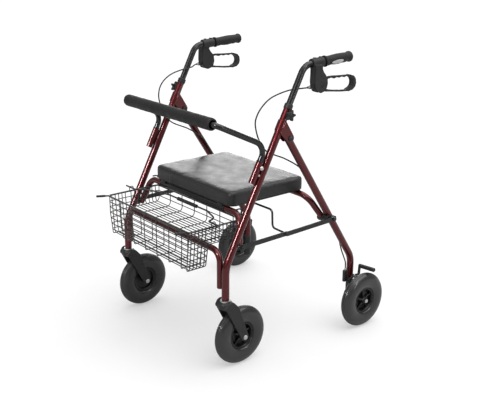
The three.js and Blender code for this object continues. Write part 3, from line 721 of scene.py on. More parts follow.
def brace():
    bars = (("front", BRACE_FRONT, 16.6, "brace_front"), ("rear", BRACE_REAR, 21.0, "brace_rear"))
    for which, start, inner, body in bars:
        outline = capsule_outline(start, BRACE_MIDDLE, 8)
        pair(f"brace_bar_{which}", plate(LEG_X + inner, LEG_X + inner + 3.6, outline), STEEL, body)
    turned("brace_rivet", [(0, 24.7), (6.4, 24.7), (5.4, 26.6), (0, 27.3)],
           (LEG_X, *BRACE_MIDDLE), STEEL, "brace_rear", soft=0.8, segments=32)
    for node, y, z, start, body in (("brace_front_bracket", *BRACE_FRONT, 21.9, "front_frame"),
                                    ("brace_rear_clamp", *BRACE_REAR, 26.4, "rear_frame")):
        moulded(node, f"{node}_pressed", STEEL, body, voxel=0.9, rounds=3)
        turned(f"{node}_nut",
               [(0, start + 4.9), (5.6, start + 4.9), (7.3, start + 3.8), (7.3, start), (0, start)],
               (LEG_X, y, z), STEEL, body, segments=6)
    y, z = BRACE_MIDDLE
    rod = both_sides([(LEG_X + 20.6, y, z), (244, y, z + 2), (241, y, z + 64)])
    put("brace_lift_rod", sweep(bend(rod, [14] * 4, 10), 3.6, 20), WIRE, "brace_front")


# ---------------------------------------------------------------- handles and brakes


def star_knobs():
    at = along_lean(-18)
    shape = Shape()
    steps = 120
    layers = [(18.0, 0.80), (18.8, 0.93), (20.5, 1.0), (28.8, 1.0), (30.4, 0.95), (31.1, 0.84)]
    verts = []
    for x, grow in layers:
        for i in range(steps):
            a = 2 * math.pi * i / steps
            r = 14.4 + 4.9 * max(-0.62, math.cos(5 * a))
            verts.append((LEG_X + x, at.y + grow * r * math.cos(a), at.z + grow * r * math.sin(a)))
    faces = rings_to_faces(len(layers), steps)
    faces += [tuple(reversed(range(steps))), tuple(range(len(verts) - steps, len(verts)))]
    shape.add(verts, faces)
    shape.add(*lathe(rounded([(0, 11.4), (9, 11.4), (9, 18.2), (0, 18.2)], 0.8), (LEG_X, at.y, at.z)))
    pair("star_knob", shape, PLASTIC, "knob_", sharp=50)
    turned("knob_cap", [(0, 30.9), (8.4, 30.9), (8.2, 32.4), (6.6, 33), (0, 32.6)],
           (LEG_X, at.y, at.z), HUB, "knob_", soft=0.5, segments=40)


def handles():
    body = "handle_"
    route = bend([along_lean(-200), HANDLE_CORNER, grip_point(GRIP_END_Y - 5)], [46], 24)
    pair("handle_tube", sweep(route, HANDLE_R, 40), BLACK, body)
    # Painted shade: small dark discs on the tube stand for the shade inside the height holes.
    for k in range(5):
        at = along_lean(42 + 22 * k)
        turned(f"height_hole_{k}", [(0, 10.2), (2.4, 10.2), (2.4, 10.95), (1.8, 11), (0, 11)],
               at, HUB, body, soft=0.2, segments=20)
    start = grip_point(408)
    axis = (grip_point(GRIP_END_Y) - start).normalized()
    profile = [(11.4, 0), (17.6, 0.2), (18.9, 1.6), (18.9, 4.8), (17.4, 7), (16, 9.6), (15.6, 16),
               (15.8, 30), (16.7, 46), (17.3, 62), (17.1, 78), (16.3, 92), (15.8, 103), (16.3, 108),
               (17.8, 112), (18.4, 116), (17.9, 119.4), (16.2, 121.8), (11.4, 122.8), (0, 123)]
    dense = rounded([(0, 0)] + profile, 2.5, 4)
    shape = Shape().add(*lathe(dense, start, axis, 56))
    shape.move(lambda v: finger_grip(v, start, axis))
    pair("hand_grip", shape, GRIP, body, sharp=60)
    dome = rounded([(0, 0), (1, 0), (1, 0.5), (0, 1)], 0.2, 5)
    oval = Shape().add(*lathe(dome, (0, 0, 0), (1, 0, 0), 56))
    centre = grip_point(460, 6)
    tilt = Matrix.Rotation(math.radians(3), 4, "X")
    oval.move(lambda v: centre + tilt @ Vector((15.6 + v.x * 2.4 - 1.3 * v.y**2 + 2.6 * v.z,
                                                v.y * 27, v.z * 6.8)))
    pair("grip_inlay", oval, INLAY, body)


def finger_grip(v, start, axis):
    """Shallow finger waves under the grip."""
    bore, first, last, waves, depth = 12, 12, 108, 4, 0.9
    along = (v - start).dot(axis)
    off = v - start - axis * along
    if off.length < bore or not first < along < last:
        return v
    under = max(0.0, -off.normalized().z)
    wave = depth * under * math.sin((along - first) / (last - first) * waves * 2 * math.pi)
    return v + off.normalized() * wave


HOUSING = [(352, 972), (351, 940), (350, 915), (353, 897), (362, 884), (378, 878.5), (394, 883), (404, 893),
           (408, 908), (406, 924), (399, 936), (389, 947), (383, 957), (382, 972)]
HOUSING_FRONT = [(352, 972), (351, 940), (350, 915), (353, 897), (359.5, 887), (359, 893), (364, 923),
                 (384, 941), (383, 957), (382, 972)]
LEVER_TOP = [(392, 926), (404, 930.5), (430, 931), (470, 928.5), (512, 927), (516, 924), (512, 921),
             (500, 922.4), (488, 919.6), (476, 922.8), (464, 920.4), (452, 923.6), (440, 920.2), (426, 924.4),
             (410, 922), (396, 916)]
LEVER_BOTTOM = [(392, 884), (404, 880.5), (430, 878), (470, 873), (505, 871), (510, 874), (505, 877.4),
                (470, 879.4), (430, 884.2), (410, 888), (396, 894)]
LEVER_END = [(504, 871), (524, 875), (536, 884), (540, 897), (537, 912), (528, 922), (511, 927.4),
             (511, 921.4), (521, 916), (527.4, 907), (528.6, 897), (525.6, 888), (517, 881), (504, 877.4)]
LEVER_ROOT = [(376, 888), (386, 882), (398, 882), (404, 888), (404, 924), (398, 928), (388, 922), (378, 910)]


def brake_controls():
    body = "handle_"
    x, y, z = BRAKE_PIVOT
    ring = sweep([grip_point(352), grip_point(403)], 16.6, 36, 1.5)
    boss = sweep([(x, 362, 900.2), (x, 337, 900.5)], 6, 20, 1)
    screws = [sweep([grip_point(k, -12), grip_point(k, -19.6)], 5.2, 20, 1) for k in CLAMP_SCREWS_Y]
    shell = [ring, boss, *screws,
             plate(x - 13.5, x + 2.8, HOUSING, 3), plate(x + 2, x + 14, HOUSING_FRONT, 0.5),
             plate(x + 13.6, x + 16.6, HOUSING, 1.3)]
    fused("brake_housing_body", shell, PLASTIC, body, replaces="brake_housing", voxel=1.1, rounds=5)
    loop = [plate(x + 4, x + 12.4, LEVER_TOP, 1.4), plate(x + 4, x + 12.4, LEVER_BOTTOM, 1.4),
            plate(x - 4, x + 19.5, LEVER_END, 1.6), plate(x + 4.4, x + 12, LEVER_ROOT, 0.8)]
    fused("brake_lever_loop", loop, PLASTIC, "lever_", replaces="brake_lever", voxel=0.75, rounds=4)
    turned("brake_axle_cap", [(0, 12.4), (8.5, 12.4), (8.5, 13.6), (6.5, 14.4), (0, 14.4)],
           (x + 3.6, y + 4, z - 2), HUB, body, soft=0.6, segments=40)
    for k, at_y in enumerate(CLAMP_SCREWS_Y):
        top = grip_point(at_y, -18.6)
        turned(f"clamp_screw_{k}",
               [(0, -1.2), (3.6, -1.2), (3.6, 0.6), (2.9, 1.1), (1.8, 1.1), (1.6, 0.3), (0, 0.3)],
               top, ZINC, body, axis=(0, 0, 1), segments=24)
    start = Vector((303, 342, 900.5))
    out = Vector((0, -1, 0))
    turned("cable_adjuster", [(2.7, -2), (5.7, -2), (5.7, 4), (4.4, 4.4), (4.4, 10), (2.7, 10), (2.7, -2)],
           start, ZINC, body, soft=0.4, axis=out, segments=20)


def rear_brakes():
    cheek = hull_outline([(586, 174, 8), (568, 164, 4)])
    upright = [(540, 162), (556, 162), (557, 204), (553, 207), (543, 207), (539, 204)]
    bracket = [plate(LEG_X + 12.4, LEG_X + 15.6, cheek, 0.6), plate(LEG_X + 3, LEG_X + 15, upright, 1.5),
               plate(LEG_X + 4, LEG_X + 13, [(550, 161), (571, 161), (571, 171), (550, 174)], 0.8)]
    fused("brake_bracket_body", bracket, STEEL, "rear_frame", replaces="brake_bracket", voxel=0.9, rounds=3)
    stop_x, stop_y = LEG_X + 9, 548
    turned("cable_stop", [(2.6, 205), (5, 205), (5, 211), (4, 214), (2.6, 214), (2.6, 205)],
           (stop_x, stop_y, 0), ZINC, "rear_frame", soft=0.6, axis=(0, 0, 1), segments=24)
    elbow = (611.5, 174)
    x0, x1 = LEG_X + 15.9, LEG_X + 19.7
    arms = [plate(x0, x1, capsule_outline(elbow, BRAKE_BAR, 6.2)),
            plate(x0, x1, capsule_outline(ROCKER_PIVOT, elbow, 6)),
            plate(x0 + 0.1, x1 - 0.1, capsule_outline((556, 165), ROCKER_PIVOT, 3.4))]
    fused("brake_rocker_arm", arms, STEEL, "rocker_", replaces="brake_rocker", voxel=0.7, rounds=2)
    start = Vector((LEG_X + 15, BRAKE_BAR[0], BRAKE_BAR[1] + 1.4))
    end = Vector((REAR_AXLE.x + 23, BRAKE_BAR[0] + 1.5, BRAKE_BAR[1] + 6.5))
    bar = Shape().add(*sweep([start, start.lerp(end, 0.5), end], 7.7, 28, 2.4))
    pair("brake_bar_sleeve", bar, PLASTIC, "rocker_")
    turned("rocker_bolt", [(0, 20.2), (6.2, 20.2), (6, 22.4), (3.5, 23.2), (0, 23.2)],
           (LEG_X, *ROCKER_PIVOT), ZINC, "rear_frame", soft=0.6, segments=32)
    turns, steps, r, bottom, height = 7, 90, 3.6, 189, 15
    coil = []
    for k in range(steps):
        t = k / (steps - 1)
        a = t * 2 * math.pi * turns
        coil.append(Vector((stop_x + r * math.cos(a), stop_y + r * math.sin(a), bottom + height * t)))
    pair("return_spring", sweep(coil, 0.7, 8, 0.2), ZINC, "rear_frame")


CABLE_R = 2.4
CABLE_X = LEG_X - 16
CABLE_UPPER = [(303, 331.8, 900.6), (302, 326, 900.2), (293, 311, 898.5), (282, 296, 896.5), (278, 277, 895),
               (278, 234, 889), (278, 192, 877), (278, 162, 857), (276, 146, 837), (273, 138, 815),
               (272, 137.5, 799), (271.5, 145, 768), (271, 157, 742), (271, 167, 727)]
CABLE_JOIN = (270.9, 169, 723.7)
CABLE_LOWER = [(270.8, 171, 720.5), (270.3, 182, 709), (270.5, 200, 697), (271.5, 226, 685), (274, 266, 667),
               *[(CABLE_X, rear_leg_y(z), z) for z in (620, 560, 500, 440, 380, 325)],
               (281, 539, 300), (287, 541, 280), (296, 544, 258), (303, 547, 238), (304, 548, 214.6)]


def brake_cables():
    for tag, side in SIDES:
        upper = put(f"brake_cable_upper_{tag}",
                    sweep(smooth_route(CABLE_UPPER + [CABLE_JOIN], 7), CABLE_R, 14, 0.3), CABLE, None, side)
        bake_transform(upper)
        lower = put(f"brake_cable_lower_{tag}",
                    sweep(smooth_route([CABLE_JOIN] + CABLE_LOWER, 7), CABLE_R, 14, 0.3), CABLE, None, side)
        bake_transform(lower)


# ---------------------------------------------------------------- wheels


def tyre_shape(x, centre):
    profile = [(47.6, -13.6), (49.6, -16.2), (53, -17.8), (58, -19.4), (64, -20.5), (71, -21), (78, -20.6),
               (84.5, -19.2), (90, -16.7), (94.4, -13.4), (97.4, -9.9), (98.0, -9.0), (96.9, -8.6),
               (97.2, -7.8), (99.2, -7.2), (100.2, -5.0), (100.8, -2.6), (99.7, -2.2), (99.7, -1.5),
               (101, -1.1)]
    mirrored = [(r, -a) for r, a in reversed(profile)]
    ring = rounded(profile + mirrored, 1.2, 2)
    return lathe(ring + [ring[0]], (x, *centre), segments=112)


def hub_shape(x, centre, inner):
    """A spoked plastic hub: outer face +X, with a long inner boss on the rear wheels."""
    rim = [(38, -11), (44, -13.2), (47.2, -13.2), (47.2, 13.2), (44, 13.4), (41, 12), (38.5, 6), (38, -11)]
    boss = [(5, -inner), (11.6, -inner), (12.4, -8), (12.4, 12), (10.5, 16.6), (5, 16.6), (5, -inner)]
    disc = [(10, -5), (40, -5), (40, -2), (31, -2), (30, 0.5), (27, 0.5), (26, -2), (10, -1), (10, -5)]
    shape = Shape()
    for profile, radius, segments in ((rim, 0.8, 96), (boss, 1.2, 48), (disc, 0.4, 72)):
        shape.add(*lathe(rounded(profile, radius), (x, *centre), segments=segments))
    for i in range(5):
        a = 2 * math.pi * (i + 0.25) / 5
        radial = Vector((0, math.cos(a), math.sin(a)))
        across = Vector((0, -math.sin(a), math.cos(a)))
        verts = []
        for r, half, top in ((10, 4.6, 11), (24, 2.4, 5), (39.5, 3.6, 5.5)):
            lip = half - 1.4
            edge = ((-half, -1), (-half, top - 1.5), (-lip, top), (lip, top), (half, top - 1.5), (half, -1))
            for w, h in edge:
                verts.append(Vector((x + h, centre[0], centre[1])) + radial * r + across * w)
        faces = rings_to_faces(3, 6)
        faces += [tuple(reversed(range(6))), tuple(range(12, 18))]
        shape.add(verts, faces)
    return shape


def wheels():
    for end, axle, inner in (("front", CASTER_AXLE, 19), ("rear", REAR_AXLE, 52)):
        pair(f"{end}_tyre", tyre_shape(axle.x, axle.yz), TYRE, f"{end}_wheel_", sharp=50)
        pair(f"{end}_hub", hub_shape(axle.x, axle.yz, inner), HUB, f"{end}_wheel_", sharp=40)
    body = "caster_"
    half = TYRE_HALF
    saddle = hull_outline([(-13, 224, 9), (10, 227, 11), (20, 219, 9)])
    blade = hull_outline([(1, 224, 19), (24, 210, 12), (*CASTER_AXLE.yz, 14.5)])
    cap = [(0, 214), (23, 214), (24.5, 224), (23.5, 232), (20, 237), (17.5, STEM_Z - 5), (0, STEM_Z - 5)]
    fork = [plate(LEG_X - half - 9.4, LEG_X + half + 9.4, saddle, 3.5),
            lathe(cap, (LEG_X, 0, 0), (0, 0, 1), 48),
            plate(LEG_X - half - 9.6, LEG_X - half - 4, blade, 1.4),
            plate(LEG_X + half + 4, LEG_X + half + 9.6, blade, 1.4)]
    fused("caster_fork_body", fork, PLASTIC, body, replaces="caster_fork", voxel=1.3, rounds=5)
    outside, inside = (CASTER_AXLE + Vector((x, 0, 0)) for x in (half, -half))
    turned("caster_bolt", [(0, 8.6), (8.4, 8.6), (8.2, 11.6), (5, 13.6), (0, 13.9)],
           outside, ZINC, body, soft=0.8, segments=40)
    turned("caster_nut", [(0, -13.6), (6.8, -13.6), (8.4, -12.4), (8.4, -8.6), (0, -8.6)],
           inside, ZINC, body, segments=6)
    turned("stem_washer", [(11, -4.6), (17.2, -4.6), (17.2, -0.4), (11, -0.4), (11, -4.6)],
           (LEG_X, 0, STEM_Z), ZINC, body, soft=0.5, axis=(0, 0, 1), segments=48)


# ---------------------------------------------------------------- seat


def seat_outline(grow, corner, per_corner=10):
    """Points round the seat, anticlockwise from above, moved out by grow."""
    w = SEAT_HALF_W + grow
    y0, y1 = SEAT_Y[0] - grow, SEAT_Y[1] + grow
    r = corner + grow
    points = []
    corners = ((w - r, y0 + r, -90), (w - r, y1 - r, 0), (r - w, y1 - r, 90), (r - w, y0 + r, 180))
    for cx, cy, turn in corners:
        for k in range(per_corner + 1):
            a = math.radians(turn + 90 * k / per_corner)
            points.append((cx + r * math.cos(a), cy + r * math.sin(a)))
    return points


def cushion_shape(shrink):
    """The cushion's layers, from the underside up, as (inset, height)."""
    low = ((7, 0), (2, 1), (0.5, 4), (0.1, 10), (0, 18), (0, 30))
    high = ((0.3, 11), (2.6, 5.5), (9, 2.2), (24, 1.2), (60, 0.6), (110, 0.4), (150, 0.3))
    layers = [(inset, CUSHION_Z + z) for inset, z in low] + [(inset, SEAT_TOP - z) for inset, z in high]
    shape = Shape()
    verts = []
    count = len(seat_outline(0, SEAT_CORNER))
    for inset, z in layers:
        corner = max(SEAT_CORNER - inset, 6) if inset < 20 else 8
        line = seat_outline(-min(inset, 150) - shrink, corner + shrink)
        verts += [(x, y, z - (shrink if z > 550 else -shrink)) for x, y in line]
    faces = rings_to_faces(len(layers), count)
    first_fan, last_fan = len(verts), len(verts) + 1
    verts += [(0, SEAT_MIDDLE_Y, layers[0][1] + shrink), (0, SEAT_MIDDLE_Y, layers[-1][1] - shrink)]
    top = (len(layers) - 1) * count
    for i in range(count):
        j = (i + 1) % count
        faces.append((j, i, first_fan))
        faces.append((top + i, top + j, last_fan))
    return shape.add(verts, faces)


def inflate(mesh, cap):
    """Cloth with inner pressure swells the cushion. Each point then moves no further than cap."""
    mesh = evaluated_mesh(mesh, ("REMESH", {"mode": "VOXEL", "voxel_size": CUSHION_MESH}))
    rest = np.array([v.co for v in mesh.vertices], float)
    pad = placed("pad", mesh)
    scene = bpy.context.scene
    cloth = pad.modifiers.new("cloth", "CLOTH")
    cloth.settings.use_pressure = True
    cloth.settings.uniform_pressure_force = 4
    cloth.settings.effector_weights.gravity = 0
    cloth.settings.quality = 5
    cloth.point_cache.frame_start, cloth.point_cache.frame_end = 1, 20
    for step in range(1, 21):
        scene.frame_set(step)
    graph = bpy.context.evaluated_depsgraph_get()
    moved = np.array([v.co for v in pad.evaluated_get(graph).data.vertices], float)
    scene.frame_set(1)
    bpy.data.objects.remove(pad)
    shift = moved - rest
    length = np.linalg.norm(shift, axis=1, keepdims=True)
    final = rest + shift * np.minimum(1, cap / np.maximum(length, 1e-9))
    mesh.vertices.foreach_set("co", final.astype(np.float32).ravel())
    mesh.update()
    return mesh


def crown(v):
    """The cushion's top is pressed in by use, and its cover puckers along the edges."""
    x, y, z = v
    u = (x / SEAT_HALF_W) ** 2
    w = ((y - SEAT_MIDDLE_Y) / (SEAT_Y[1] - SEAT_MIDDLE_Y)) ** 2
    if z > SEAT_TOP - 8:
        z -= 1.6 * max(0, 1 - u) * max(0, 1 - w)
        z += 0.7 * noise.noise(Vector((x / 90, y / 60, 3.1)))
        edge = min(1, max(0, (max(u, w) - 0.55) / 0.45))
        z += 0.9 * edge * noise.noise(Vector((x / 14, y / 14, 1.7)))
    return Vector((x, y, min(z, SEAT_TOP + 1.5)))


def seat():
    shape = cushion_shape(0.8)
    mesh = bpy.data.meshes.new("seat_cushion_pad")
    mesh.from_pydata([to_row(*v) for v in shape.verts], [], shape.faces)
    mesh = inflate(mesh, 0.0018)
    mesh = evaluated_mesh(mesh, ("SMOOTH", {"factor": 0.5, "iterations": 3}),
                          ("SUBSURF", {"levels": 1, "render_levels": 1}))
    low, high = Vector((-SEAT_HALF_W, SEAT_Y[0], CUSHION_Z)), Vector((SEAT_HALF_W, SEAT_Y[1], SEAT_TOP))
    for v in mesh.vertices:
        p = v.co * 1000
        p = Vector((p.x, p.y - STEM.y, p.z))
        p = Vector([min(max(p[i], low[i] - 2.5), high[i] + 2.5) for i in range(3)])
        p.z = max(p.z, CUSHION_Z)
        v.co = to_row(*crown(p))
    mesh.name = "seat_cushion_pad"
    pad = settle("seat_cushion_pad", mesh, VINYL, "seat", sharp=80, replaces=("seat_cushion",))
    for name, z in (("upper", SEAT_TOP - 7), ("lower", CUSHION_Z + 5)):
        put(f"seat_piping_{name}", sweep(seam_line(mesh, z, 6), 0.8, 10, 0.2), VINYL, "seat", sharp=80)
        stitches(f"seat_stitches_{name}", seam_line(mesh, z + (3.2 if name == "lower" else -3.2), 1))
    stripe = [Vector((-118, SEAT_Y[0] - 2.6, CUSHION_Z + 3 + k * 3.4)) for k in range(10)]
    put("seat_front_seam", sweep(stripe, 0.9, 8, 0.2), THREAD, "seat")
    keep_node("seat_board", HUB, 0.6)
    keep_node("seat_hinge_sleeve", HUB, 0.3)


def seam_line(mesh, z, step):
    """A closed line round the cushion at a height, laid on its surface."""
    skin = BVHTree.FromPolygons([v.co for v in mesh.vertices], [face.vertices for face in mesh.polygons])
    outline = seat_outline(0, SEAT_CORNER, 14)
    route = dense_route([Vector((x, y, z)) for x, y in outline + [outline[0]]], step)
    laid = [skin.find_nearest(to_row(*point))[0] * 1000 for point in route]
    return [Vector((p.x, p.y - STEM.y, p.z)) for p in laid]


def dense_route(points, step):
    route = []
    for a, b in zip(points, points[1:]):
        count = max(1, round((b - a).length / step))
        route += [a.lerp(b, k / count) for k in range(count)]
    return route + [points[-1]]


def stitches(name, fine, length=4.2, gap=2.6):
    """A row of short thread dashes along a line of close points."""
    travelled = [0.0]
    for a, b in zip(fine, fine[1:]):
        travelled.append(travelled[-1] + (b - a).length)
    shape = Shape()
    at = 0.0
    i = 0
    while at + length < travelled[-1]:
        ends = []
        for distance in (at, at + length):
            while travelled[i] < distance:
                i += 1
            ends.append(fine[i])
        shape.add(*sweep([ends[0], ends[0].lerp(ends[1], 0.5), ends[1]], [0.3, 0.55, 0.3], 6, 0.1))
        at += length + gap
    return put(name, shape, THREAD, "seat", sharp=80)


# ---------------------------------------------------------------- backrest


def backrest():
    def socket_point(z):
        return Vector((LEG_X, leg_y(z) - SOCKET_GAP / LEAN.z, z))

    tube = both_sides([socket_point(632), socket_point(731), (264, *BACK)])
    put("backrest_tube", sweep(bend(tube, [38, 26, 26, 38], 16), 9.5, 36), BLACK, "backrest")
    half = FOAM_HALF
    profile = [(9.9, -half + 16), (13.2, -half + 5), (14.2, -half), (17.6, -half),
               (19.4, -half + 2), (20.3, -half + 6)]
    steps = 60
    middle = [(20.3 + 0.22 * math.sin(k * 1.3), -half + 6 + (2 * half - 12) * k / steps)
              for k in range(1, steps)]
    ring = profile + middle + [(r, -a) for r, a in reversed(profile)]
    shape = Shape().add(*lathe(ring + [ring[0]], (0, *BACK), segments=72))
    shape.move(lambda v: v + 0.5 * (v - Vector((v.x, *BACK))).normalized() * noise.noise(v / 22))
    pad = put("backrest_foam_roll", shape, FOAM, "backrest", sharp=60, replaces=("backrest_foam",))
    # Painted shade: a thin dark rod along the foam stands for the shade inside its slit.
    slit = [Vector((x, BACK[0] + 3 + 0.6 * noise.noise(Vector((x / 30, 0, 0))), BACK[1] - 20.5))
            for x in range(5 - FOAM_HALF, FOAM_HALF - 4, 7)]
    put("foam_slit", sweep(slit, 0.5, 6, 0.1), HUB, "backrest")
    low, high = socket_point(617), socket_point(682)
    shell = Shape().add(*sweep([low, high], 10.8, 36, 1.2))
    web = [(low.y, 624), (leg_y(624) - 14, 624), (leg_y(676) - 14, 676), (high.y, 676)]
    shell.add(*plate(LEG_X - 2, LEG_X + 2, web, 0.4))
    at = Vector((LEG_X, leg_y(664) - 24, 664))
    shell.add(*lathe(rounded([(0, 2), (5.6, 2), (5.6, 11.8), (0, 11.8)], 0.5), at, segments=32))
    pair("backrest_socket_body", shell, RED, "front_frame", replaces="backrest_socket")
    turned("socket_rim", [(9.7, 0), (11.4, 0), (11.4, 3), (9.7, 3.6), (9.7, 0)],
           high, HUB, "front_frame", soft=0.5, axis=LEAN, segments=36)
    turned("socket_bolt", [(0, 11.6), (7.6, 11.6), (7.4, 14), (5, 16.6), (0, 17.4)],
           at, ZINC, "front_frame", soft=1.2, segments=40)
    turned("socket_pin", [(0, 6.6), (3.9, 6.6), (3.6, 8), (0, 8.6)],
           (LEG_X, leg_y(640) - 18, 640), ZINC, "front_frame", soft=0.5, segments=28)


# ---------------------------------------------------------------- basket


def deep_half(z):
    """Half the deep part's width at a height."""
    top, bottom = BASKET_HALF_W - 5, BASKET_HALF_W - 16
    return bottom + (top - bottom) * (z - DEEP_Z) / (SHELF_Z - DEEP_Z)


def basket():
    shape = Shape()

    def wire(points, radii, r=WIRE_R, sides=8):
        shape.add(*sweep(bend(points, radii, 5), r, sides, 0.3))

    front, back = BASKET_Y
    w = BASKET_HALF_W
    inset = 1.6
    rim = [(w, front), (w, back), (-w, back), (-w, front)]
    ring = [Vector((x, y, RIM_Z)) for x, y in rim]
    start = ring[0].lerp(ring[1], 0.5)
    wire([start, ring[1], ring[2], ring[3], ring[0], start], [10] * 4, RIM_WIRE_R, 14)
    second = [Vector((x * 0.992, y, RIM_Z - 20)) for x, y in rim]
    third = [Vector((x * 0.986, y, RIM_Z - 40)) for x, y in rim]
    for lower in (second, third):
        begin = lower[0].lerp(lower[1], 0.5)
        wire([begin, *lower[1:], lower[0], begin], [10] * 4)
    # Cross wires go down the front wall, along the deep floor, up the step, along the shelf and up the back.
    for x in (-236, -163, -89, -15, 58, 131, 203, 236):
        narrow = x * (BASKET_HALF_W - 16) / (BASKET_HALF_W - 5)
        wire([(x, front + inset, RIM_Z), (x, front + inset, SHELF_Z), (narrow, front + 4, DEEP_Z + 2),
              (narrow, DEEP_BACK_Y - 2, DEEP_Z + 2), (x, DEEP_BACK_Y, SHELF_Z), (x, back - inset, SHELF_Z),
              (x, back - inset, RIM_Z)], [4, 5, 5, 4, 16])
    # Floor and shelf wires run across the basket and up both sides.
    for y in np.linspace(front + 13, DEEP_BACK_Y - 12, 5):
        wire([(w - 2, y, RIM_Z), (deep_half(DEEP_Z), y, DEEP_Z + 3.6), (-deep_half(DEEP_Z), y, DEEP_Z + 3.6),
              (-w + 2, y, RIM_Z)], [9, 9])
    for y in np.linspace(DEEP_BACK_Y + 12, back - 14, 8):
        z = SHELF_Z + 2.4
        wire([(w - 2, y, RIM_Z), (w - 5, y, z), (-w + 5, y, z), (-w + 2, y, RIM_Z)], [9, 9])
    # Level rings round the deep part.
    for z in (SHELF_Z, SHELF_Z - 20, SHELF_Z - 40, SHELF_Z - 60):
        half = deep_half(z)
        f = front + inset
        b = DEEP_BACK_Y - 1
        wire([(0, f, z), (half, f, z), (half, b, z), (-half, b, z), (-half, f, z), (0, f, z)], [8] * 4)
    for side in (-1, 1):
        x = side * w
        y, z = BAIL_PIVOT
        hook = [(x, y - 9, RIM_Z), (x, y - 7, z + 5.5), (x, y + 7, z + 5.5), (x, y + 9, RIM_Z)]
        wire(hook, [6.5, 6.5], 1.6, 10)
        arm = side * (w - 4)
        wire([(arm, front + 4, RIM_Z), (arm, front - 48, RIM_Z + 8)], [], 3.0, 12)
        wire([(x, back, RIM_Z), (x, back + 1, 520), (x, 84, 520)], [10], 2.6, 10)
    put("basket_wires", shape, WIRE, "basket", sharp=60, replaces=("basket_shell",))
    for tag, side in SIDES:
        arm = side * (w - 4)
        ends = [Vector((arm, front - 14, RIM_Z + 2.8)), Vector((arm, front - 48.5, RIM_Z + 8))]
        sleeve = sweep(ends, 4.1, 16, 0.9)
        put(f"basket_arm_sleeve_{tag}", sleeve, PLASTIC, "basket")
    bail()


def bail():
    y, z = BAIL_PIVOT
    w = BASKET_HALF_W
    reach = 73

    def point(x, v):
        return Vector((x, y + v * math.cos(BAIL_SLOPE), z + v * math.sin(BAIL_SLOPE)))

    route = both_sides([point(w + 34, 0), point(w - 26, 0), point(196, 42), point(112, reach)])
    wire = sweep(bend(route, [14, 60, 60, 60, 60, 14], 10), 3, 16, 0.8)
    put("basket_bail", wire, WIRE, "basket_handle", sharp=60)
    count = 29
    sleeve = [point(-56 + 4 * k, reach) for k in range(count)]
    radii = [6.3 + 0.2 * (-1) ** k for k in range(count)]
    put("bail_sleeve", sweep(sleeve, radii, 24, 1.5), PLASTIC, "basket_handle", sharp=30)


# ---------------------------------------------------------------- stage


# The camera that fits the photo. Its turn is azimuth, elevation and roll in degrees.
CAMERA_TURN = (50.3, 17.8, 0.47)
CAMERA_PLACE = (2225.5, -1517.2, 1391.1)
LENS = 59.76
SENSOR = 36


def camera():
    azimuth, elevation, roll = (math.radians(a) for a in CAMERA_TURN)
    level = Vector((math.sin(azimuth), -math.cos(azimuth), 0))
    back = level * math.cos(elevation) + Vector((0, 0, math.sin(elevation)))
    right = (-back).cross(Vector((0, 0, 1))).normalized()
    up = right.cross(-back)
    rolled_right = right * math.cos(roll) + up * math.sin(roll)
    rolled_up = up * math.cos(roll) - right * math.sin(roll)
    data = bpy.data.cameras.new("camera")
    data.sensor_width = SENSOR
    data.lens = LENS
    data.shift_x = 0.0066
    data.shift_y = -0.0116
    eye = placed("camera", data)
    turn = Matrix((rolled_right, rolled_up, back)).transposed().to_4x4()
    eye.matrix_world = Matrix.Translation(to_row(*CAMERA_PLACE)) @ turn
    bpy.context.scene.camera = eye


def light(name, place, aim, size, power, size_y=None):
    data = bpy.data.lights.new(name, "AREA")
    data.shape = "RECTANGLE"
    data.size = size
    data.size_y = size_y or size
    data.energy = power
    lamp = placed(name, data)
    lamp.location = place
    lamp.rotation_mode = "QUATERNION"
    lamp.rotation_quaternion = (Vector(aim) - Vector(place)).to_track_quat("-Z", "Y")
    lamp.visible_camera = False
    return lamp


def sun(name, towards, power, angle):
    data = bpy.data.lights.new(name, "SUN")
    data.energy = power
    data.angle = math.radians(angle)
    lamp = placed(name, data)
    lamp.rotation_mode = "QUATERNION"
    lamp.rotation_quaternion = Vector(towards).to_track_quat("Z", "Y")
    return lamp


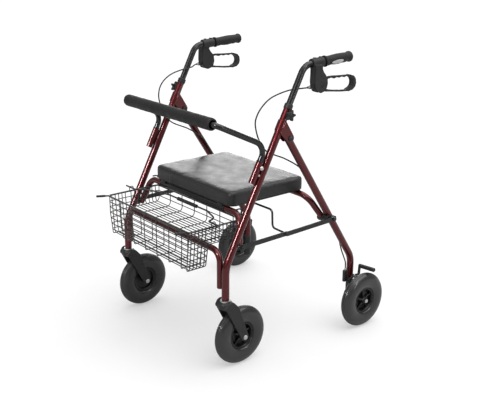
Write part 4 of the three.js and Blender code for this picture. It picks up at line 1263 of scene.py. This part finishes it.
def studio_world():
    """White to the eye, and a softer studio in what it lights: bright overhead, darker round the sides."""
    world = bpy.data.worlds.new("studio")
    world.use_nodes = True
    tree = world.node_tree
    back = tree.nodes["Background"]
    place = tree.nodes.new("ShaderNodeTexCoord")
    split = tree.nodes.new("ShaderNodeSeparateXYZ")
    tone = tree.nodes.new("ShaderNodeValToRGB")
    path = tree.nodes.new("ShaderNodeLightPath")
    pick = tree.nodes.new("ShaderNodeMix")
    pick.data_type = "RGBA"
    pick.inputs[7].default_value = (1, 1, 1, 1)
    tree.links.new(place.outputs["Generated"], split.inputs["Vector"])
    tree.links.new(split.outputs["Z"], tone.inputs["Fac"])
    tone.color_ramp.elements[0].position, tone.color_ramp.elements[0].color = 0.05, grey(0.22)
    tone.color_ramp.elements[1].position, tone.color_ramp.elements[1].color = 0.95, grey(1.1)
    tone.color_ramp.elements.new(0.5).color = grey(0.34)
    tree.links.new(tone.outputs["Color"], pick.inputs[6])
    tree.links.new(path.outputs["Is Camera Ray"], pick.inputs[0])
    tree.links.new(pick.outputs[2], back.inputs["Color"])
    back.inputs["Strength"].default_value = 1.0
    return world


def stage():
    mesh = bpy.data.meshes.new("floor")
    size = 60
    corners = [(x * size, y * size, 0) for x, y in ((-1, -1), (1, -1), (1, 1), (-1, 1))]
    mesh.from_pydata(corners, [], [(0, 1, 2, 3)])
    mesh.materials.append(floor_paint())
    floor = placed("floor", mesh)
    bpy.context.scene.world = studio_world()
    sun("overhead", (0.267, 0.242, 0.933), 1.5, 70)
    front = sun("front", (0.17, -0.88, 0.45), 1.35, 9.5)
    light("strip_right", (2.7, 0.6, 1.7), (0, 0, 0.6), 0.22, 14, 2.2)
    light("back", (-2.6, 2.4, 1.35), (0, 0, 0.5), 2.6, 36, 1.2)
    spared = bpy.data.collections.new("not_lit_by_boxes")
    spared.objects.link(floor)
    spared.collection_objects[0].light_linking.link_state = "EXCLUDE"
    for lamp in bpy.context.scene.objects:
        if lamp.type == "LIGHT" and (lamp.data.type == "AREA" or lamp == front):
            lamp.light_linking.receiver_collection = spared
    bpy.context.scene.view_settings.view_transform = "Standard"


camera()
front_legs()
cross_tubes()
rear_legs()
gussets()
brace()
star_knobs()
handles()
brake_controls()
rear_brakes()
brake_cables()
wheels()
seat()
backrest()
basket()
stage()
